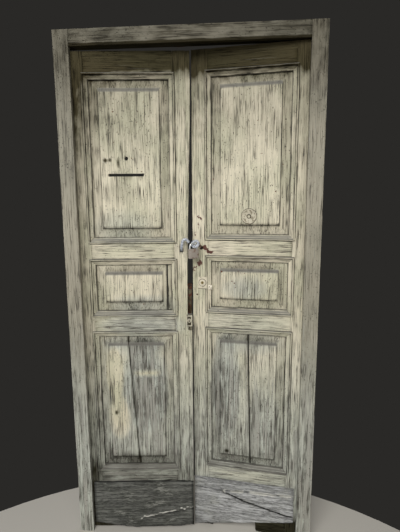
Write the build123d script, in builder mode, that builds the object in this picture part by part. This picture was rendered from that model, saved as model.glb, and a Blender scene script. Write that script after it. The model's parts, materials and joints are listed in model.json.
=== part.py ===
"""Old double-leaf panelled entrance door in its rebated frame, chained and padlocked with both leaves ajar.

X runs along the wall, +Y goes into the house and +Z is up. The origin is on the floor, on the doorway's
centre line, in the plane of the closed leaves' outer faces. All lengths are in millimetres.
A place on a leaf is given as u, its distance from the hinge edge towards the meeting edge, z, its height
above the floor, and depth, how far it lies behind the leaf's outer face (negative stands proud).
"""

import os
from dataclasses import dataclass
from math import cos, pi, radians, sin

from build123d import *

# Doorway and frame
OPENING_W = 1050.0
LIP_LAP = 13.0
LIP_T = 20.0
FRAME_W = 70.0
LEAF_GAP = 3.0
FACE_GAP = 2.0
HEAD_PLAY = 4.0
HEAD_LAP = 5.0
HEAD_TENON_L = 30.0
HEAD_TENON_T = 20.0
FIXING_R = 4.5
FIXING_FIRST_Z = 450.0
FIXING_PITCH = 500.0
FIXING_COUNT = 4
HINGE_EDGE_X = OPENING_W / 2 + LIP_LAP

# Leaves, with the heights of the left one's rails and panels
LEAF_T = 45.0
LEFT_ANGLE = 4.7
RIGHT_ANGLE = 8.0
LEFT_W = HINGE_EDGE_X - 1.0
RIGHT_W = HINGE_EDGE_X - 7.5
HINGE_STILE_W = 60.0
LEFT_MEETING_STILE_W = 81.0
LEFT_BOTTOM_Z = 12.0
RIGHT_BOTTOM_Z = 4.0
RIGHT_RISE = 13.0
BOTTOM_RAIL_TOP_Z = 349.0
LOWER_PANEL_H = 727.0
MIDDLE_PANEL_H = 260.0
UPPER_PANEL_H = 744.0
LOCK_RAIL_H = 98.5
TOP_RAIL_H = 103.0
LOWER_TOP_Z = BOTTOM_RAIL_TOP_Z + LOWER_PANEL_H
MIDDLE_LOW_Z = LOWER_TOP_Z + LOCK_RAIL_H
MIDDLE_TOP_Z = MIDDLE_LOW_Z + MIDDLE_PANEL_H
UPPER_LOW_Z = MIDDLE_TOP_Z + LOCK_RAIL_H
UPPER_TOP_Z = UPPER_LOW_Z + UPPER_PANEL_H
LEFT_TOP_Z = UPPER_TOP_Z + TOP_RAIL_H
RIGHT_TOP_Z = LEFT_TOP_Z + RIGHT_RISE
STILE_EDGE_U = LEFT_W - LEFT_MEETING_STILE_W
PANEL_OPENING_W = STILE_EDGE_U - HINGE_STILE_W
PANEL_MID_U = (HINGE_STILE_W + STILE_EDGE_U) / 2

# Joinery
GROOVE_D = 12.0
GROOVE_NEAR = 15.0
GROOVE_FAR = 27.0
TENON_L = 40.0
TENON_SHOULDER = 14.0
TOP_HAUNCH = 30.0
BOTTOM_HAUNCH = 50.0

# Raised panels
PANEL_PLAY = 0.25
TONGUE_L = 10.0
PANEL_FLAT = 20.0
FIELD_INSET = 59.0
BEVEL_TOP_DEPTH = 8.0
FIELD_DEPTH = 6.0

# Bolection moulding round each panel
MOULD_INSIDE = 16.0
MOULD_OUTSIDE = 12.0
MOULD_FOOT = 9.0
BEAD_R = 4.5
BEAD_BASE = 3.5
BEAD_STEPS = 6
QUIRK_H = 2.5
OGEE_STEPS = 5
MITRE_GAP = 0.3

# Boards across the foot of each leaf; a foot or a split is given as (share of the length, rise)
KICK_T = 14.0
KICK_TOP_Z = BOTTOM_RAIL_TOP_Z - 74.0
RIGHT_KICK_TOP_Z = KICK_TOP_Z + 6.0
KICK_START_U = 17.0
KICK_SLOPE = 6.0
KICK_END_GAP = 1.0
LEFT_KICK_FOOT = ((0.0, 34.0), (0.09, 27.0), (0.17, 19.0), (0.31, 4.0), (0.54, 0.0), (0.87, 1.0), (1.0, 12.0))
RIGHT_KICK_FOOT = ((0.0, 93.0), (1.0, 1.0))
SPLIT_LOW = ((0.0, 122.0), (0.07, 124.0), (0.26, 146.0), (0.5, 175.0), (0.71, 214.0))
SPLIT_HIGH = ((0.0, 242.0), (0.18, 232.0), (0.42, 231.0), (0.71, 217.0))
SPLIT_TOP = ((0.71, 217.0), (1.0, 224.0))
SPLIT_GAP = 2.0
UPPER_KICK_T = 9.0
LOWER_KICK_T = 12.0

# Rotted notch in the right leaf's bottom rail, as (distance from the rail's middle, rise)
ROT_NOTCH = ((-52.0, 0.0), (-44.0, 58.0), (20.0, 47.0), (118.0, 34.0), (172.0, 22.0), (176.0, 0.0))

# Worn meeting edge of the left leaf, its lipping, and what is left of its cover strip
EDGE_WEAR_Z = UPPER_TOP_Z - 127.0
EDGE_WEAR_MID = (LEFT_W - 14.0, UPPER_LOW_Z + 127.0)
LIPPING_U = LEFT_W - 21.0
LIPPING_TOP_Z = MIDDLE_LOW_Z + 115.5
LIPPING_DEPTH = 22.0
REBATE_U = LEFT_W - 17.5
STRIP_EDGE_U = LEFT_W + 1.0
STRIP_PROUD = 8.0
STRIP_BEVEL = 2.5
CAPITAL_U = LEFT_W - 28.0
CAPITAL_Z = (LOWER_TOP_Z + 38.0, LOWER_TOP_Z + 93.0)
CAPITAL_PROUD = 14.0
CAPITAL_CAP_H = 8.0
CAPITAL_SINK = 4.0
CAPITAL_MARGIN = 5.0
SCROLL_R = 8.0
NECK_U = LEFT_W - 15.0
NECK_H = 18.0
NECK_GAP = 2.0
NECK_INSET = 2.0
NECK_PROUD = 11.0

# Hinges
HINGE_H = 120.0
HINGE_LOW_Z = 300.0
HINGE_HIGH_Z = LEFT_TOP_Z - 260.0
HINGE_Z = (HINGE_LOW_Z, (HINGE_LOW_Z + HINGE_HIGH_Z) / 2, HINGE_HIGH_Z)
BARREL_R = 7.0
BARREL_SIDES = 14
BARREL_PROUD = 1.0
PIN_R = 4.0
PIN_PLAY = 0.05
KNUCKLE_GAP = 0.3
FLAP_T = 3.0
FLAP_LET_IN = 2.0
FLAP_NEAR = 8.0

# Letter slot, bell hole and round rose in the upper panels
SLOT_U = (PANEL_MID_U - 105.0, PANEL_MID_U + 65.0)
SLOT_Z = UPPER_LOW_Z + 308.0
SLOT_H = 13.0
BELL_HOLE = (PANEL_MID_U - 19.0, UPPER_LOW_Z + 383.0)
BELL_HOLE_R = 9.0
ROSE_AT = (PANEL_MID_U + 2.5, UPPER_LOW_Z + 114.0)
ROSE_R = 34.5
ROSE_T = 4.0
ROSE_RIM = 4.0
ROSE_HOLE_R = 8.0

# Open joints between shrunken panel boards, as (u at the top, u at the bottom, width)
LEFT_MIDDLE_JOINT = (STILE_EDGE_U - 37.5, STILE_EDGE_U - 37.5, 6.5)
LEFT_LOWER_CRACK = (PANEL_MID_U - 42.0, PANEL_MID_U + 4.0, 3.0)
RIGHT_LOWER_JOINT = (PANEL_MID_U + 1.0, PANEL_MID_U - 18.0, 5.5)

# Cylinder lock on the right leaf
LOCK_U = RIGHT_W - 47.9
LOCK_Z = MIDDLE_LOW_Z + 150.5
PLATE_W = 46.0
PLATE_H = 58.0
PLATE_T = 2.0
PLATE_FIT = 0.5
CYLINDER_R = 14.0
COLLAR_R = 17.0
COLLAR_T = 3.0
CYLINDER_PLAY = 0.4
CYLINDER_END = 60.0
PLUG_R = 7.0
PLUG_PLAY = 0.08
PLUG_END = 40.0
KEYWAY_W = 1.8
KEYWAY_H = 8.5
KEYWAY_D = 14.0
CASE_U = (RIGHT_W - 90.5, RIGHT_W - 1.5)
CASE_Z = (LOCK_Z - 57.0, LOCK_Z + 57.0)
CASE_T = 28.0
BOLT_Z = (LOCK_Z - 45.0, LOCK_Z - 23.0)
BOLT_DEPTH = (LEAF_T + 5.0, LEAF_T + 21.0)
BOLT_L = 70.0
BOLT_PLAY = 0.3
SPINDLE_R = 5.0
KNOB_R = 16.0
KNOB_STANDOFF = 3.0
KNOB_T = 18.0
KNOB_BEVEL = 5.0

# Keep of that lock on the left leaf
KEEP_PLATE_U = LEFT_W - 79.0
KEEP_BOX_U = LEFT_W - 29.0
KEEP_BACK_U = LEFT_W - 21.0
KEEP_Z = (LOCK_Z - 55.0, LOCK_Z - 13.0)
KEEP_PLATE_T = 3.0
KEEP_PLAY = 2.0

# Flush rod bolts inside the left leaf
ROD_U = LEFT_W - 42.0
ROD_R = 6.0
ROD_PLAY = 0.3
ROD_STANDOFF = 11.0
TOP_ROD_Z = (LEFT_TOP_Z - 340.0, LEFT_TOP_Z - 6.0)
TOP_STAPLES_Z = (LEFT_TOP_Z - 290.0, LEFT_TOP_Z - 175.0, LEFT_TOP_Z - 60.0)
TOP_KNOB_Z = LEFT_TOP_Z - 245.0
BOTTOM_ROD_Z = (LEFT_BOTTOM_Z + 8.0, LEFT_BOTTOM_Z + 408.0)
BOTTOM_STAPLES_Z = (LEFT_BOTTOM_Z + 88.0, LEFT_BOTTOM_Z + 203.0, LEFT_BOTTOM_Z + 318.0)
BOTTOM_KNOB_Z = LEFT_BOTTOM_Z + 278.0
ROD_PLATE_W = 34.0
ROD_PLATE_T = 3.0
ROD_PLATE_END = 20.0
STAPLE_W = 24.0
STAPLE_H = 12.0
STAPLE_WALL = 4.0
ROD_KNOB_R = 5.0
ROD_KNOB_L = 20.0
HEAD_KEEP_W = 40.0
HEAD_KEEP_T = 4.0
HEAD_KEEP_RISE = 8.0
HEAD_KEEP_H = 40.0
HEAD_KEEP_REACH = 26.0
HEAD_KEEP_HOLE_R = 7.5

# Sleeved chain through the meeting stiles, and its padlock. The loop, the eye and the padlock are placed
# from the right leaf's meeting edge at the height of the upper panels' lower edge.
SLEEVE_R = 7.0
SLEEVE_SIDES = 8
CHAIN_HOLE_R = 9.0
CHAIN_HOLE_D = 38.0
LEFT_HOLE = (LEFT_W - 47.0, UPPER_LOW_Z - 47.0)
RIGHT_HOLE = (RIGHT_W - 41.5, UPPER_LOW_Z - 36.0)
LEFT_TAIL_OUT = 23.0
LEFT_LOOP = ((-44.3, -60.56, -5.0), (-36.3, -60.56, 8.0), (-22.3, -58.56, 9.0), (-13.8, -55.56, -6.0))
LEFT_LOOP_R = (15.0, 30.0, 12.0, 10.0)
EYE_R = 15.0
EYE_AT = (16.2, -39.06, -15.0)
EYE_AXIS = (0.269, 0.857, -0.439)
EYE_TAIL_AT = (30.0, -40.56, -9.8)
RIGHT_TAIL_OUT = 14.0
RIGHT_TAIL_R = 20.0
PADLOCK_AT = (7.2, -44.56, -38.0)
PADLOCK_TURN = 30.0
PADLOCK_W = 50.0
PADLOCK_T = 20.0
PADLOCK_H = 45.0
PADLOCK_CORNER = 3.0
PADLOCK_ARRIS = 1.0
SHACKLE_R = 3.75
SHACKLE_SIDES = 12
SHACKLE_SPAN = 37.0
SHACKLE_RISE = 7.5
SHACKLE_LONG_LEG = 32.0
SHACKLE_SHORT_LEG = 9.0
SHACKLE_PLAY = 0.15
LEG_HOLE_SPARE = 2.0
PADLOCK_PLUG_R = 6.0
PADLOCK_PLUG_PLAY = 0.08
PADLOCK_PLUG_L = 24.0

# Worked out from the sizes above
REBATE_X = HINGE_EDGE_X + LEAF_GAP
FRAME_X = OPENING_W / 2 + FRAME_W
PIVOT_X = HINGE_EDGE_X + LEAF_GAP / 2
PIVOT_DEPTH = LEAF_T + BARREL_PROUD + BARREL_R
LIP_BACK_Y = -FACE_GAP
LIP_FRONT_Y = LIP_BACK_Y - LIP_T
HEAD_REBATE_Z = RIGHT_TOP_Z + HEAD_PLAY
LIP_UNDERSIDE_Z = HEAD_REBATE_Z - HEAD_LAP
FRAME_TOP_Z = LIP_UNDERSIDE_Z + FRAME_W

@dataclass
class Leaf:
    """One leaf where it stands ajar, with the heights of its rails and panels."""

    name: str
    side: int
    angle: float
    width: float
    bottom: float
    top: float
    rise: float

    @property
    def plane(self):
        """Plane of the outer face, x along the wall, y up, z out of the face, at the hinge edge."""
        turn = radians(-self.side * self.angle)
        edge = Vector(-self.side * (PIVOT_X - HINGE_EDGE_X), -PIVOT_DEPTH, 0)
        edge = edge.rotate(Axis.Z, -self.side * self.angle)
        origin = Vector(self.side * PIVOT_X, PIVOT_DEPTH, 0) + edge
        return Plane(origin, x_dir=(cos(turn), sin(turn), 0), z_dir=(sin(turn), -cos(turn), 0))

    def x(self, u):
        """Where u lies along the plane's x."""
        return -self.side * u

    def point(self, u, z, depth):
        """A place on the leaf as a point of the room."""
        return self.plane.from_local_coords((self.x(u), z, -depth))

    @property
    def openings(self):
        """Low and high edges of the lower, middle and upper panel openings."""
        low = BOTTOM_RAIL_TOP_Z + self.rise
        spans = []
        for height in (LOWER_PANEL_H, MIDDLE_PANEL_H, UPPER_PANEL_H):
            spans.append((low, low + height))
            low += height + LOCK_RAIL_H
        return spans


LEFT = Leaf("left", -1, LEFT_ANGLE, LEFT_W, LEFT_BOTTOM_Z, LEFT_TOP_Z, 0.0)
RIGHT = Leaf("right", 1, RIGHT_ANGLE, RIGHT_W, RIGHT_BOTTOM_Z, RIGHT_TOP_Z, RIGHT_RISE)
PANEL_NAMES = ("lower", "middle", "upper")


def save(part, name):
    """Label a finished piece and write it."""
    part.label = name
    export_step(part, f"parts/{name}.step")


def save_group(parts, name):
    """Write like pieces as separate solids of one node."""
    save(Compound(label=name, children=list(parts)), name)


def block(leaf, u, z, depth, mode=Mode.ADD):
    """Add or cut a squared timber, its u, z and depth each given as low and high."""
    with BuildSketch(leaf.plane.offset(-depth[1])) as face:
        with Locations((leaf.x((u[0] + u[1]) / 2), (z[0] + z[1]) / 2)):
            Rectangle(u[1] - u[0], z[1] - z[0])
    extrude(face.sketch, amount=depth[1] - depth[0], mode=mode)


def disc(leaf, centre, radius, depth, mode=Mode.ADD):
    """Add or cut a round piece square to the leaf's face."""
    with BuildSketch(leaf.plane.offset(-depth[1])) as face:
        with Locations((leaf.x(centre[0]), centre[1])):
            Circle(radius)
    extrude(face.sketch, amount=depth[1] - depth[0], mode=mode)


def outline(leaf, corners, depth, mode=Mode.ADD):
    """Add or cut a flat shape with straight edges, its corners given as (u, z)."""
    with BuildSketch(leaf.plane.offset(-depth[1])) as face:
        with BuildLine():
            Polyline([(leaf.x(u), z) for u, z in corners], close=True)
        make_face()
    extrude(face.sketch, amount=depth[1] - depth[0], mode=mode)


def upright(leaf, centre, radius, z, mode=Mode.ADD):
    """Add or cut a round piece that stands upright at (u, depth) of the leaf."""
    at = leaf.point(centre[0], z[0], centre[1])
    with BuildSketch(Plane.XY.offset(z[0])) as face:
        with Locations((at.X, at.Y)):
            Circle(radius)
    extrude(face.sketch, amount=z[1] - z[0], mode=mode)


# Frame


def jamb(side):
    """Rebated post beside one leaf, with its fixing holes and the beds of the hinge flaps."""
    with BuildPart() as post:
        with BuildSketch(Plane.XY):
            with BuildLine():
                Polyline(
                    (side * OPENING_W / 2, LIP_FRONT_Y),
                    (side * FRAME_X, LIP_FRONT_Y),
                    (side * FRAME_X, LEAF_T),
                    (side * REBATE_X, LEAF_T),
                    (side * REBATE_X, LIP_BACK_Y),
                    (side * OPENING_W / 2, LIP_BACK_Y),
                    close=True,
                )
            make_face()
        extrude(amount=FRAME_TOP_Z)
        with BuildSketch(Plane.YZ.offset(side * REBATE_X)):
            with Locations((LEAF_T / 2, (HEAD_REBATE_Z + FRAME_TOP_Z) / 2)):
                Rectangle(HEAD_TENON_T, (FRAME_TOP_Z - HEAD_REBATE_Z) / 2)
        extrude(amount=side * HEAD_TENON_L, mode=Mode.SUBTRACT)
        heights = [FIXING_FIRST_Z + i * FIXING_PITCH for i in range(FIXING_COUNT)]
        with BuildSketch(Plane.YZ.offset(side * REBATE_X)):
            with Locations([(LEAF_T / 2, z) for z in heights]):
                Circle(FIXING_R)
        extrude(amount=side * FRAME_W, mode=Mode.SUBTRACT)
        with BuildSketch(Plane.YZ.offset(side * REBATE_X)):
            with Locations([((FLAP_NEAR + LEAF_T) / 2, z) for z in HINGE_Z]):
                Rectangle(LEAF_T - FLAP_NEAR, HINGE_H)
        extrude(amount=side * FLAP_LET_IN, mode=Mode.SUBTRACT)
    return post.part


def head():
    """Rebated head between the jambs, with a stub tenon at each end."""
    with BuildPart() as rail:
        with BuildSketch(Plane.XZ.offset(-LIP_BACK_Y)):
            with Locations((0, (LIP_UNDERSIDE_Z + FRAME_TOP_Z) / 2)):
                Rectangle(OPENING_W, FRAME_TOP_Z - LIP_UNDERSIDE_Z)
        extrude(amount=LIP_T)
        with BuildSketch(Plane.XZ.offset(-LEAF_T)):
            with Locations((0, (HEAD_REBATE_Z + FRAME_TOP_Z) / 2)):
                Rectangle(2 * REBATE_X, FRAME_TOP_Z - HEAD_REBATE_Z)
        extrude(amount=LEAF_T - LIP_BACK_Y)
        with BuildSketch(Plane.YZ.offset(-REBATE_X - HEAD_TENON_L)):
            with Locations((LEAF_T / 2, (HEAD_REBATE_Z + FRAME_TOP_Z) / 2)):
                Rectangle(HEAD_TENON_T, (FRAME_TOP_Z - HEAD_REBATE_Z) / 2)
        extrude(amount=2 * (REBATE_X + HEAD_TENON_L))
    return rail.part


def head_keep():
    """Angle plate behind the head, with the hole that the left leaf's top bolt shoots into."""
    centre_x = -HINGE_EDGE_X + ROD_U
    low = HEAD_REBATE_Z + HEAD_KEEP_RISE
    with BuildPart() as keep:
        with BuildSketch(Plane.XZ.offset(-LEAF_T)):
            with Locations((centre_x, low + HEAD_KEEP_H / 2)):
                Rectangle(HEAD_KEEP_W, HEAD_KEEP_H)
        extrude(amount=-HEAD_KEEP_T)
        with BuildSketch(Plane.XY.offset(low)):
            with Locations((centre_x, LEAF_T + HEAD_KEEP_REACH / 2)):
                Rectangle(HEAD_KEEP_W, HEAD_KEEP_REACH)
            with Locations((centre_x, LEAF_T + ROD_STANDOFF)):
                Circle(HEAD_KEEP_HOLE_R, mode=Mode.SUBTRACT)
        extrude(amount=HEAD_KEEP_T)
        with BuildSketch(Plane.XY.offset(low + HEAD_KEEP_T)):
            with Locations((centre_x, LEAF_T + ROD_STANDOFF)):
                Circle(HEAD_KEEP_HOLE_R)
        extrude(amount=HEAD_KEEP_H, mode=Mode.SUBTRACT)
    return keep.part


# Hinges


def frame_flap(side, middle):
    """Flap let into the jamb, with the lower knuckle that carries the pin."""
    face_x = REBATE_X + FLAP_LET_IN
    low = middle - HINGE_H / 2
    with BuildPart() as flap:
        with BuildSketch(Plane.XY.offset(low)):
            with Locations((side * (face_x - FLAP_T / 2), (FLAP_NEAR + LEAF_T) / 2)):
                Rectangle(FLAP_T, LEAF_T - FLAP_NEAR)
        extrude(amount=HINGE_H)
        with BuildSketch(Plane.XY.offset(low)):
            with Locations((side * (face_x - FLAP_T / 2), (LEAF_T + PIVOT_DEPTH) / 2)):
                Rectangle(FLAP_T, PIVOT_DEPTH - LEAF_T)
            with Locations((side * PIVOT_X, PIVOT_DEPTH)):
                RegularPolygon(BARREL_R, BARREL_SIDES)
        extrude(amount=HINGE_H / 2)
        with BuildSketch(Plane.XY.offset(low)):
            with Locations((side * PIVOT_X, PIVOT_DEPTH)):
                Circle(PIN_R)
        extrude(amount=HINGE_H, mode=Mode.SUBTRACT)
    return flap.part


def leaf_flap(leaf, middle):
    """Flap let into the leaf's hinge edge, with the upper knuckle that turns on the pin."""
    outer = FLAP_LET_IN - FLAP_T
    upper = (middle + KNUCKLE_GAP, middle + HINGE_H / 2)
    with BuildPart() as flap:
        block(leaf, (outer, FLAP_LET_IN), (middle - HINGE_H / 2, upper[1]), (FLAP_NEAR, LEAF_T))
        block(leaf, (outer, FLAP_LET_IN), upper, (LEAF_T, PIVOT_DEPTH))
        with BuildSketch(Plane.XY.offset(upper[0])):
            with Locations((leaf.side * PIVOT_X, PIVOT_DEPTH)):
                RegularPolygon(BARREL_R, BARREL_SIDES)
        extrude(amount=upper[1] - upper[0])
        with BuildSketch(Plane.XY.offset(upper[0])):
            with Locations((leaf.side * PIVOT_X, PIVOT_DEPTH)):
                Circle(PIN_R + PIN_PLAY)
        extrude(amount=HINGE_H, mode=Mode.SUBTRACT)
    return flap.part


def hinge_pin(side, middle):
    """Pin of one lift-off hinge, fixed in the lower knuckle."""
    with BuildPart() as pin:
        with BuildSketch(Plane.XY.offset(middle - HINGE_H / 2)):
            with Locations((side * PIVOT_X, PIVOT_DEPTH)):
                Circle(PIN_R)
        extrude(amount=HINGE_H)
    return pin.part


# Stiles and rails


def cut_panel_grooves(leaf, edge_u, inward):
    """Cut the panel grooves into a stile's inner edge; inward is the way into the wood."""
    for low, high in leaf.openings:
        span = sorted((edge_u, edge_u + inward * GROOVE_D))
        block(leaf, span, (low - GROOVE_D, high + GROOVE_D), (GROOVE_NEAR, GROOVE_FAR), Mode.SUBTRACT)


def tenon_spans(leaf):
    """Low and high edges of each rail's tenons, from the bottom rail up."""
    lower, middle, upper = leaf.openings
    return [
        (leaf.bottom + BOTTOM_HAUNCH, lower[0] - TENON_SHOULDER),
        (lower[1] + TENON_SHOULDER, middle[0] - TENON_SHOULDER),
        (middle[1] + TENON_SHOULDER, upper[0] - TENON_SHOULDER),
        (upper[1] + TENON_SHOULDER, leaf.top - TOP_HAUNCH),
    ]


def cut_mortises(leaf, edge_u, inward):
    """Cut the mortises that the rails' tenons fill."""
    for span in tenon_spans(leaf):
        u = sorted((edge_u, edge_u + inward * TENON_L))
        block(leaf, u, span, (GROOVE_NEAR, GROOVE_FAR), Mode.SUBTRACT)


def hinge_stile(leaf):
    """Stile that carries the hinges."""
    with BuildPart() as stile:
        block(leaf, (0, HINGE_STILE_W), (leaf.bottom, leaf.top), (0, LEAF_T))
        cut_panel_grooves(leaf, HINGE_STILE_W, -1)
        cut_mortises(leaf, HINGE_STILE_W, -1)
        for middle in HINGE_Z:
            span = (middle - HINGE_H / 2, middle + HINGE_H / 2)
            block(leaf, (0, FLAP_LET_IN), span, (FLAP_NEAR, LEAF_T), Mode.SUBTRACT)
    return stile.part


def left_meeting_stile():
    """Meeting stile up to the lipping on its edge, with the chain's hole."""
    with BuildPart() as stile:
        block(LEFT, (STILE_EDGE_U, LIPPING_U), (LEFT.bottom, LEFT.top), (0, LEAF_T))
        cut_panel_grooves(LEFT, STILE_EDGE_U, 1)
        cut_mortises(LEFT, STILE_EDGE_U, 1)
        disc(LEFT, LEFT_HOLE, CHAIN_HOLE_R, (0, CHAIN_HOLE_D), Mode.SUBTRACT)
    return stile.part


def left_edge_lipping():
    """Two lengths planted on the meeting stile's edge: worn away above, and rebated for the strip below."""
    worn = [
        (LIPPING_U, LIPPING_TOP_Z),
        EDGE_WEAR_MID,
        (LEFT.width, EDGE_WEAR_Z),
        (LEFT.width, LEFT.top),
        (LIPPING_U, LEFT.top),
    ]
    with BuildPart() as upper:
        outline(LEFT, worn, (0, LEAF_T))
    with BuildPart() as lower:
        block(LEFT, (LIPPING_U, LEFT.width), (LEFT.bottom, LIPPING_TOP_Z), (LIPPING_DEPTH, LEAF_T))
        block(LEFT, (LIPPING_U, REBATE_U), (LEFT.bottom, CAPITAL_Z[1]), (0, LIPPING_DEPTH))
        block(LEFT, (REBATE_U, LEFT.width), (LEFT.bottom, KICK_TOP_Z), (0, LIPPING_DEPTH))
    return [lower.part, upper.part]


def right_meeting_stile():
    """Meeting stile that carries the lock and the chain's hole."""
    with BuildPart() as stile:
        block(RIGHT, (STILE_EDGE_U, RIGHT.width), (RIGHT.bottom, RIGHT.top), (0, LEAF_T))
        cut_panel_grooves(RIGHT, STILE_EDGE_U, 1)
        cut_mortises(RIGHT, STILE_EDGE_U, 1)
        disc(RIGHT, (LOCK_U, LOCK_Z), CYLINDER_R + CYLINDER_PLAY, (0, LEAF_T), Mode.SUBTRACT)
        disc(RIGHT, RIGHT_HOLE, CHAIN_HOLE_R, (0, CHAIN_HOLE_D), Mode.SUBTRACT)
    return stile.part


def rail(leaf, low, high, tenons, grooved_below, grooved_above, chain_hole=None, rot=None):
    """Rail between the stiles with a tenon at each end, grooved where a panel meets it."""
    with BuildPart() as board:
        block(leaf, (HINGE_STILE_W, STILE_EDGE_U), (low, high), (0, LEAF_T))
        reach = (HINGE_STILE_W - TENON_L, STILE_EDGE_U + TENON_L)
        block(leaf, reach, tenons, (GROOVE_NEAR, GROOVE_FAR))
        if grooved_below:
            groove = (low, low + GROOVE_D)
            block(leaf, (HINGE_STILE_W, STILE_EDGE_U), groove, (GROOVE_NEAR, GROOVE_FAR), Mode.SUBTRACT)
        if grooved_above:
            groove = (high - GROOVE_D, high)
            block(leaf, (HINGE_STILE_W, STILE_EDGE_U), groove, (GROOVE_NEAR, GROOVE_FAR), Mode.SUBTRACT)
        if chain_hole:
            disc(leaf, chain_hole, CHAIN_HOLE_R, (0, CHAIN_HOLE_D), Mode.SUBTRACT)
        if rot:
            eaten = [(PANEL_MID_U + offset, low + rise) for offset, rise in rot]
            outline(leaf, eaten, (0, LEAF_T), Mode.SUBTRACT)
    return board.part


# Panels and mouldings


def raised_panel(leaf, opening, split=None):
    """Panel with a bevelled border and a raised field, its tongue in the grooves all round."""
    low, high = opening
    near = GROOVE_NEAR + PANEL_PLAY
    far = GROOVE_FAR - PANEL_PLAY
    centre = (leaf.x((HINGE_STILE_W + STILE_EDGE_U) / 2), (low + high) / 2)
    width = PANEL_OPENING_W
    height = high - low
    with BuildPart() as panel:
        tongue_u = (HINGE_STILE_W - TONGUE_L, STILE_EDGE_U + TONGUE_L)
        block(leaf, tongue_u, (low - TONGUE_L, high + TONGUE_L), (near, far))
        with BuildSketch(leaf.plane.offset(-near)):
            with Locations(centre):
                Rectangle(width - 2 * PANEL_FLAT, height - 2 * PANEL_FLAT)
        with BuildSketch(leaf.plane.offset(-BEVEL_TOP_DEPTH)):
            with Locations(centre):
                Rectangle(width - 2 * FIELD_INSET, height - 2 * FIELD_INSET)
        loft(ruled=True)
        field_u = (HINGE_STILE_W + FIELD_INSET, STILE_EDGE_U - FIELD_INSET)
        block(leaf, field_u, (low + FIELD_INSET, high - FIELD_INSET), (FIELD_DEPTH, BEVEL_TOP_DEPTH))
        if split:
            top_u, bottom_u, gap = split
            top_z, bottom_z = high + GROOVE_D, low - GROOVE_D
            crack = [
                (bottom_u - gap / 2, bottom_z),
                (bottom_u + gap / 2, bottom_z),
                (top_u + gap / 2, top_z),
                (top_u - gap / 2, top_z),
            ]
            outline(leaf, crack, (0, LEAF_T), Mode.SUBTRACT)
    return panel.part


def left_upper_panel():
    """Upper panel with the letter slot and the bell hole cut through its field."""
    blank = raised_panel(LEFT, LEFT.openings[2])
    with BuildPart() as panel:
        add(blank)
        slot_z = (SLOT_Z - SLOT_H / 2, SLOT_Z + SLOT_H / 2)
        block(LEFT, SLOT_U, slot_z, (0, LEAF_T), Mode.SUBTRACT)
        disc(LEFT, BELL_HOLE, BELL_HOLE_R, (0, LEAF_T), Mode.SUBTRACT)
    return panel.part


def moulding_profile():
    """Section of the moulding, x outwards from the panel's middle and y out of the leaf's face."""
    outer_x = MOULD_INSIDE + MOULD_OUTSIDE
    quirk_x = outer_x - 2 * BEAD_R
    lip_y = MOULD_FOOT - GROOVE_NEAR
    turns = [pi * step / BEAD_STEPS for step in range(BEAD_STEPS + 1)]
    bead = [(outer_x - BEAD_R + BEAD_R * cos(turn), BEAD_BASE + BEAD_R * sin(turn)) for turn in turns]
    half_fall = (QUIRK_H - lip_y) / 2
    shares = [step / OGEE_STEPS for step in range(OGEE_STEPS + 1)]
    ogee = [(quirk_x * (1 - share), QUIRK_H - half_fall * (1 - cos(pi * share))) for share in shares]
    foot = [(0, -GROOVE_NEAR), (MOULD_INSIDE, -GROOVE_NEAR), (MOULD_INSIDE, 0), (outer_x, 0)]
    with BuildLine() as profile:
        Polyline(*bead, *ogee, *foot, close=True)
    make_face(profile.edges())


def moulding_length(leaf, centre, outward, half_length, half_across):
    """One mitred length: outward is the way from the panel's middle, in the leaf's plane."""
    face = leaf.plane
    out = face.x_dir * outward[0] + face.y_dir * outward[1]
    along = out.cross(face.z_dir)
    inner = face.from_local_coords((*centre, 0)) + out * half_across
    section = Plane(inner, x_dir=out, z_dir=along)
    reach = MOULD_INSIDE + MOULD_OUTSIDE
    flat = Plane(inner, x_dir=along, z_dir=face.z_dir)
    short = half_length - MITRE_GAP / 2
    with BuildPart() as length:
        with BuildSketch(section):
            moulding_profile()
        extrude(amount=half_length + reach, both=True)
        with BuildSketch(flat.offset(-LEAF_T)):
            with BuildLine():
                Polyline(
                    (-short, 0),
                    (short, 0),
                    (short + reach, reach),
                    (-short - reach, reach),
                    close=True,
                )
            make_face()
        extrude(amount=2 * LEAF_T, mode=Mode.INTERSECT)
    return length.part


def moulding_set(leaf, opening):
    """The four mitred lengths round one panel."""
    low, high = opening
    centre = (leaf.x((HINGE_STILE_W + STILE_EDGE_U) / 2), (low + high) / 2)
    half_w = PANEL_OPENING_W / 2 - MOULD_INSIDE
    half_h = (high - low) / 2 - MOULD_INSIDE
    return [
        moulding_length(leaf, centre, (0, -1), half_w, half_h),
        moulding_length(leaf, centre, (1, 0), half_h, half_w),
        moulding_length(leaf, centre, (0, 1), half_w, half_h),
        moulding_length(leaf, centre, (-1, 0), half_h, half_w),
    ]


def cut_for_lock(length):
    """A length of moulding with its lap cut back where the lock's plate lies."""
    half_w = PLATE_W / 2 + PLATE_FIT
    half_h = PLATE_H / 2 + PLATE_FIT
    with BuildPart() as cut:
        add(length)
        u = (LOCK_U - half_w, LOCK_U + half_w)
        block(RIGHT, u, (LOCK_Z - half_h, LOCK_Z + half_h), (-LEAF_T, 0), Mode.SUBTRACT)
    return cut.part


def kick_line(leaf, points):
    """Places along a kickboard from (share of its length, rise above the leaf's foot)."""
    length = leaf.width - KICK_END_GAP - KICK_START_U
    return [(KICK_START_U + share * length, leaf.bottom + rise) for share, rise in points]


def sloped_board(leaf, corners, thickness):
    """Board on the leaf's face with its top edge sloped to shed water."""
    outward = Axis(leaf.point(0, 0, 0), leaf.plane.z_dir)
    with BuildPart() as board:
        outline(leaf, corners, (-thickness, 0))
        front = board.faces().sort_by(outward)[-1]
        chamfer(front.edges().sort_by(Axis.Z)[-1], KICK_SLOPE)
    return board.part


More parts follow.
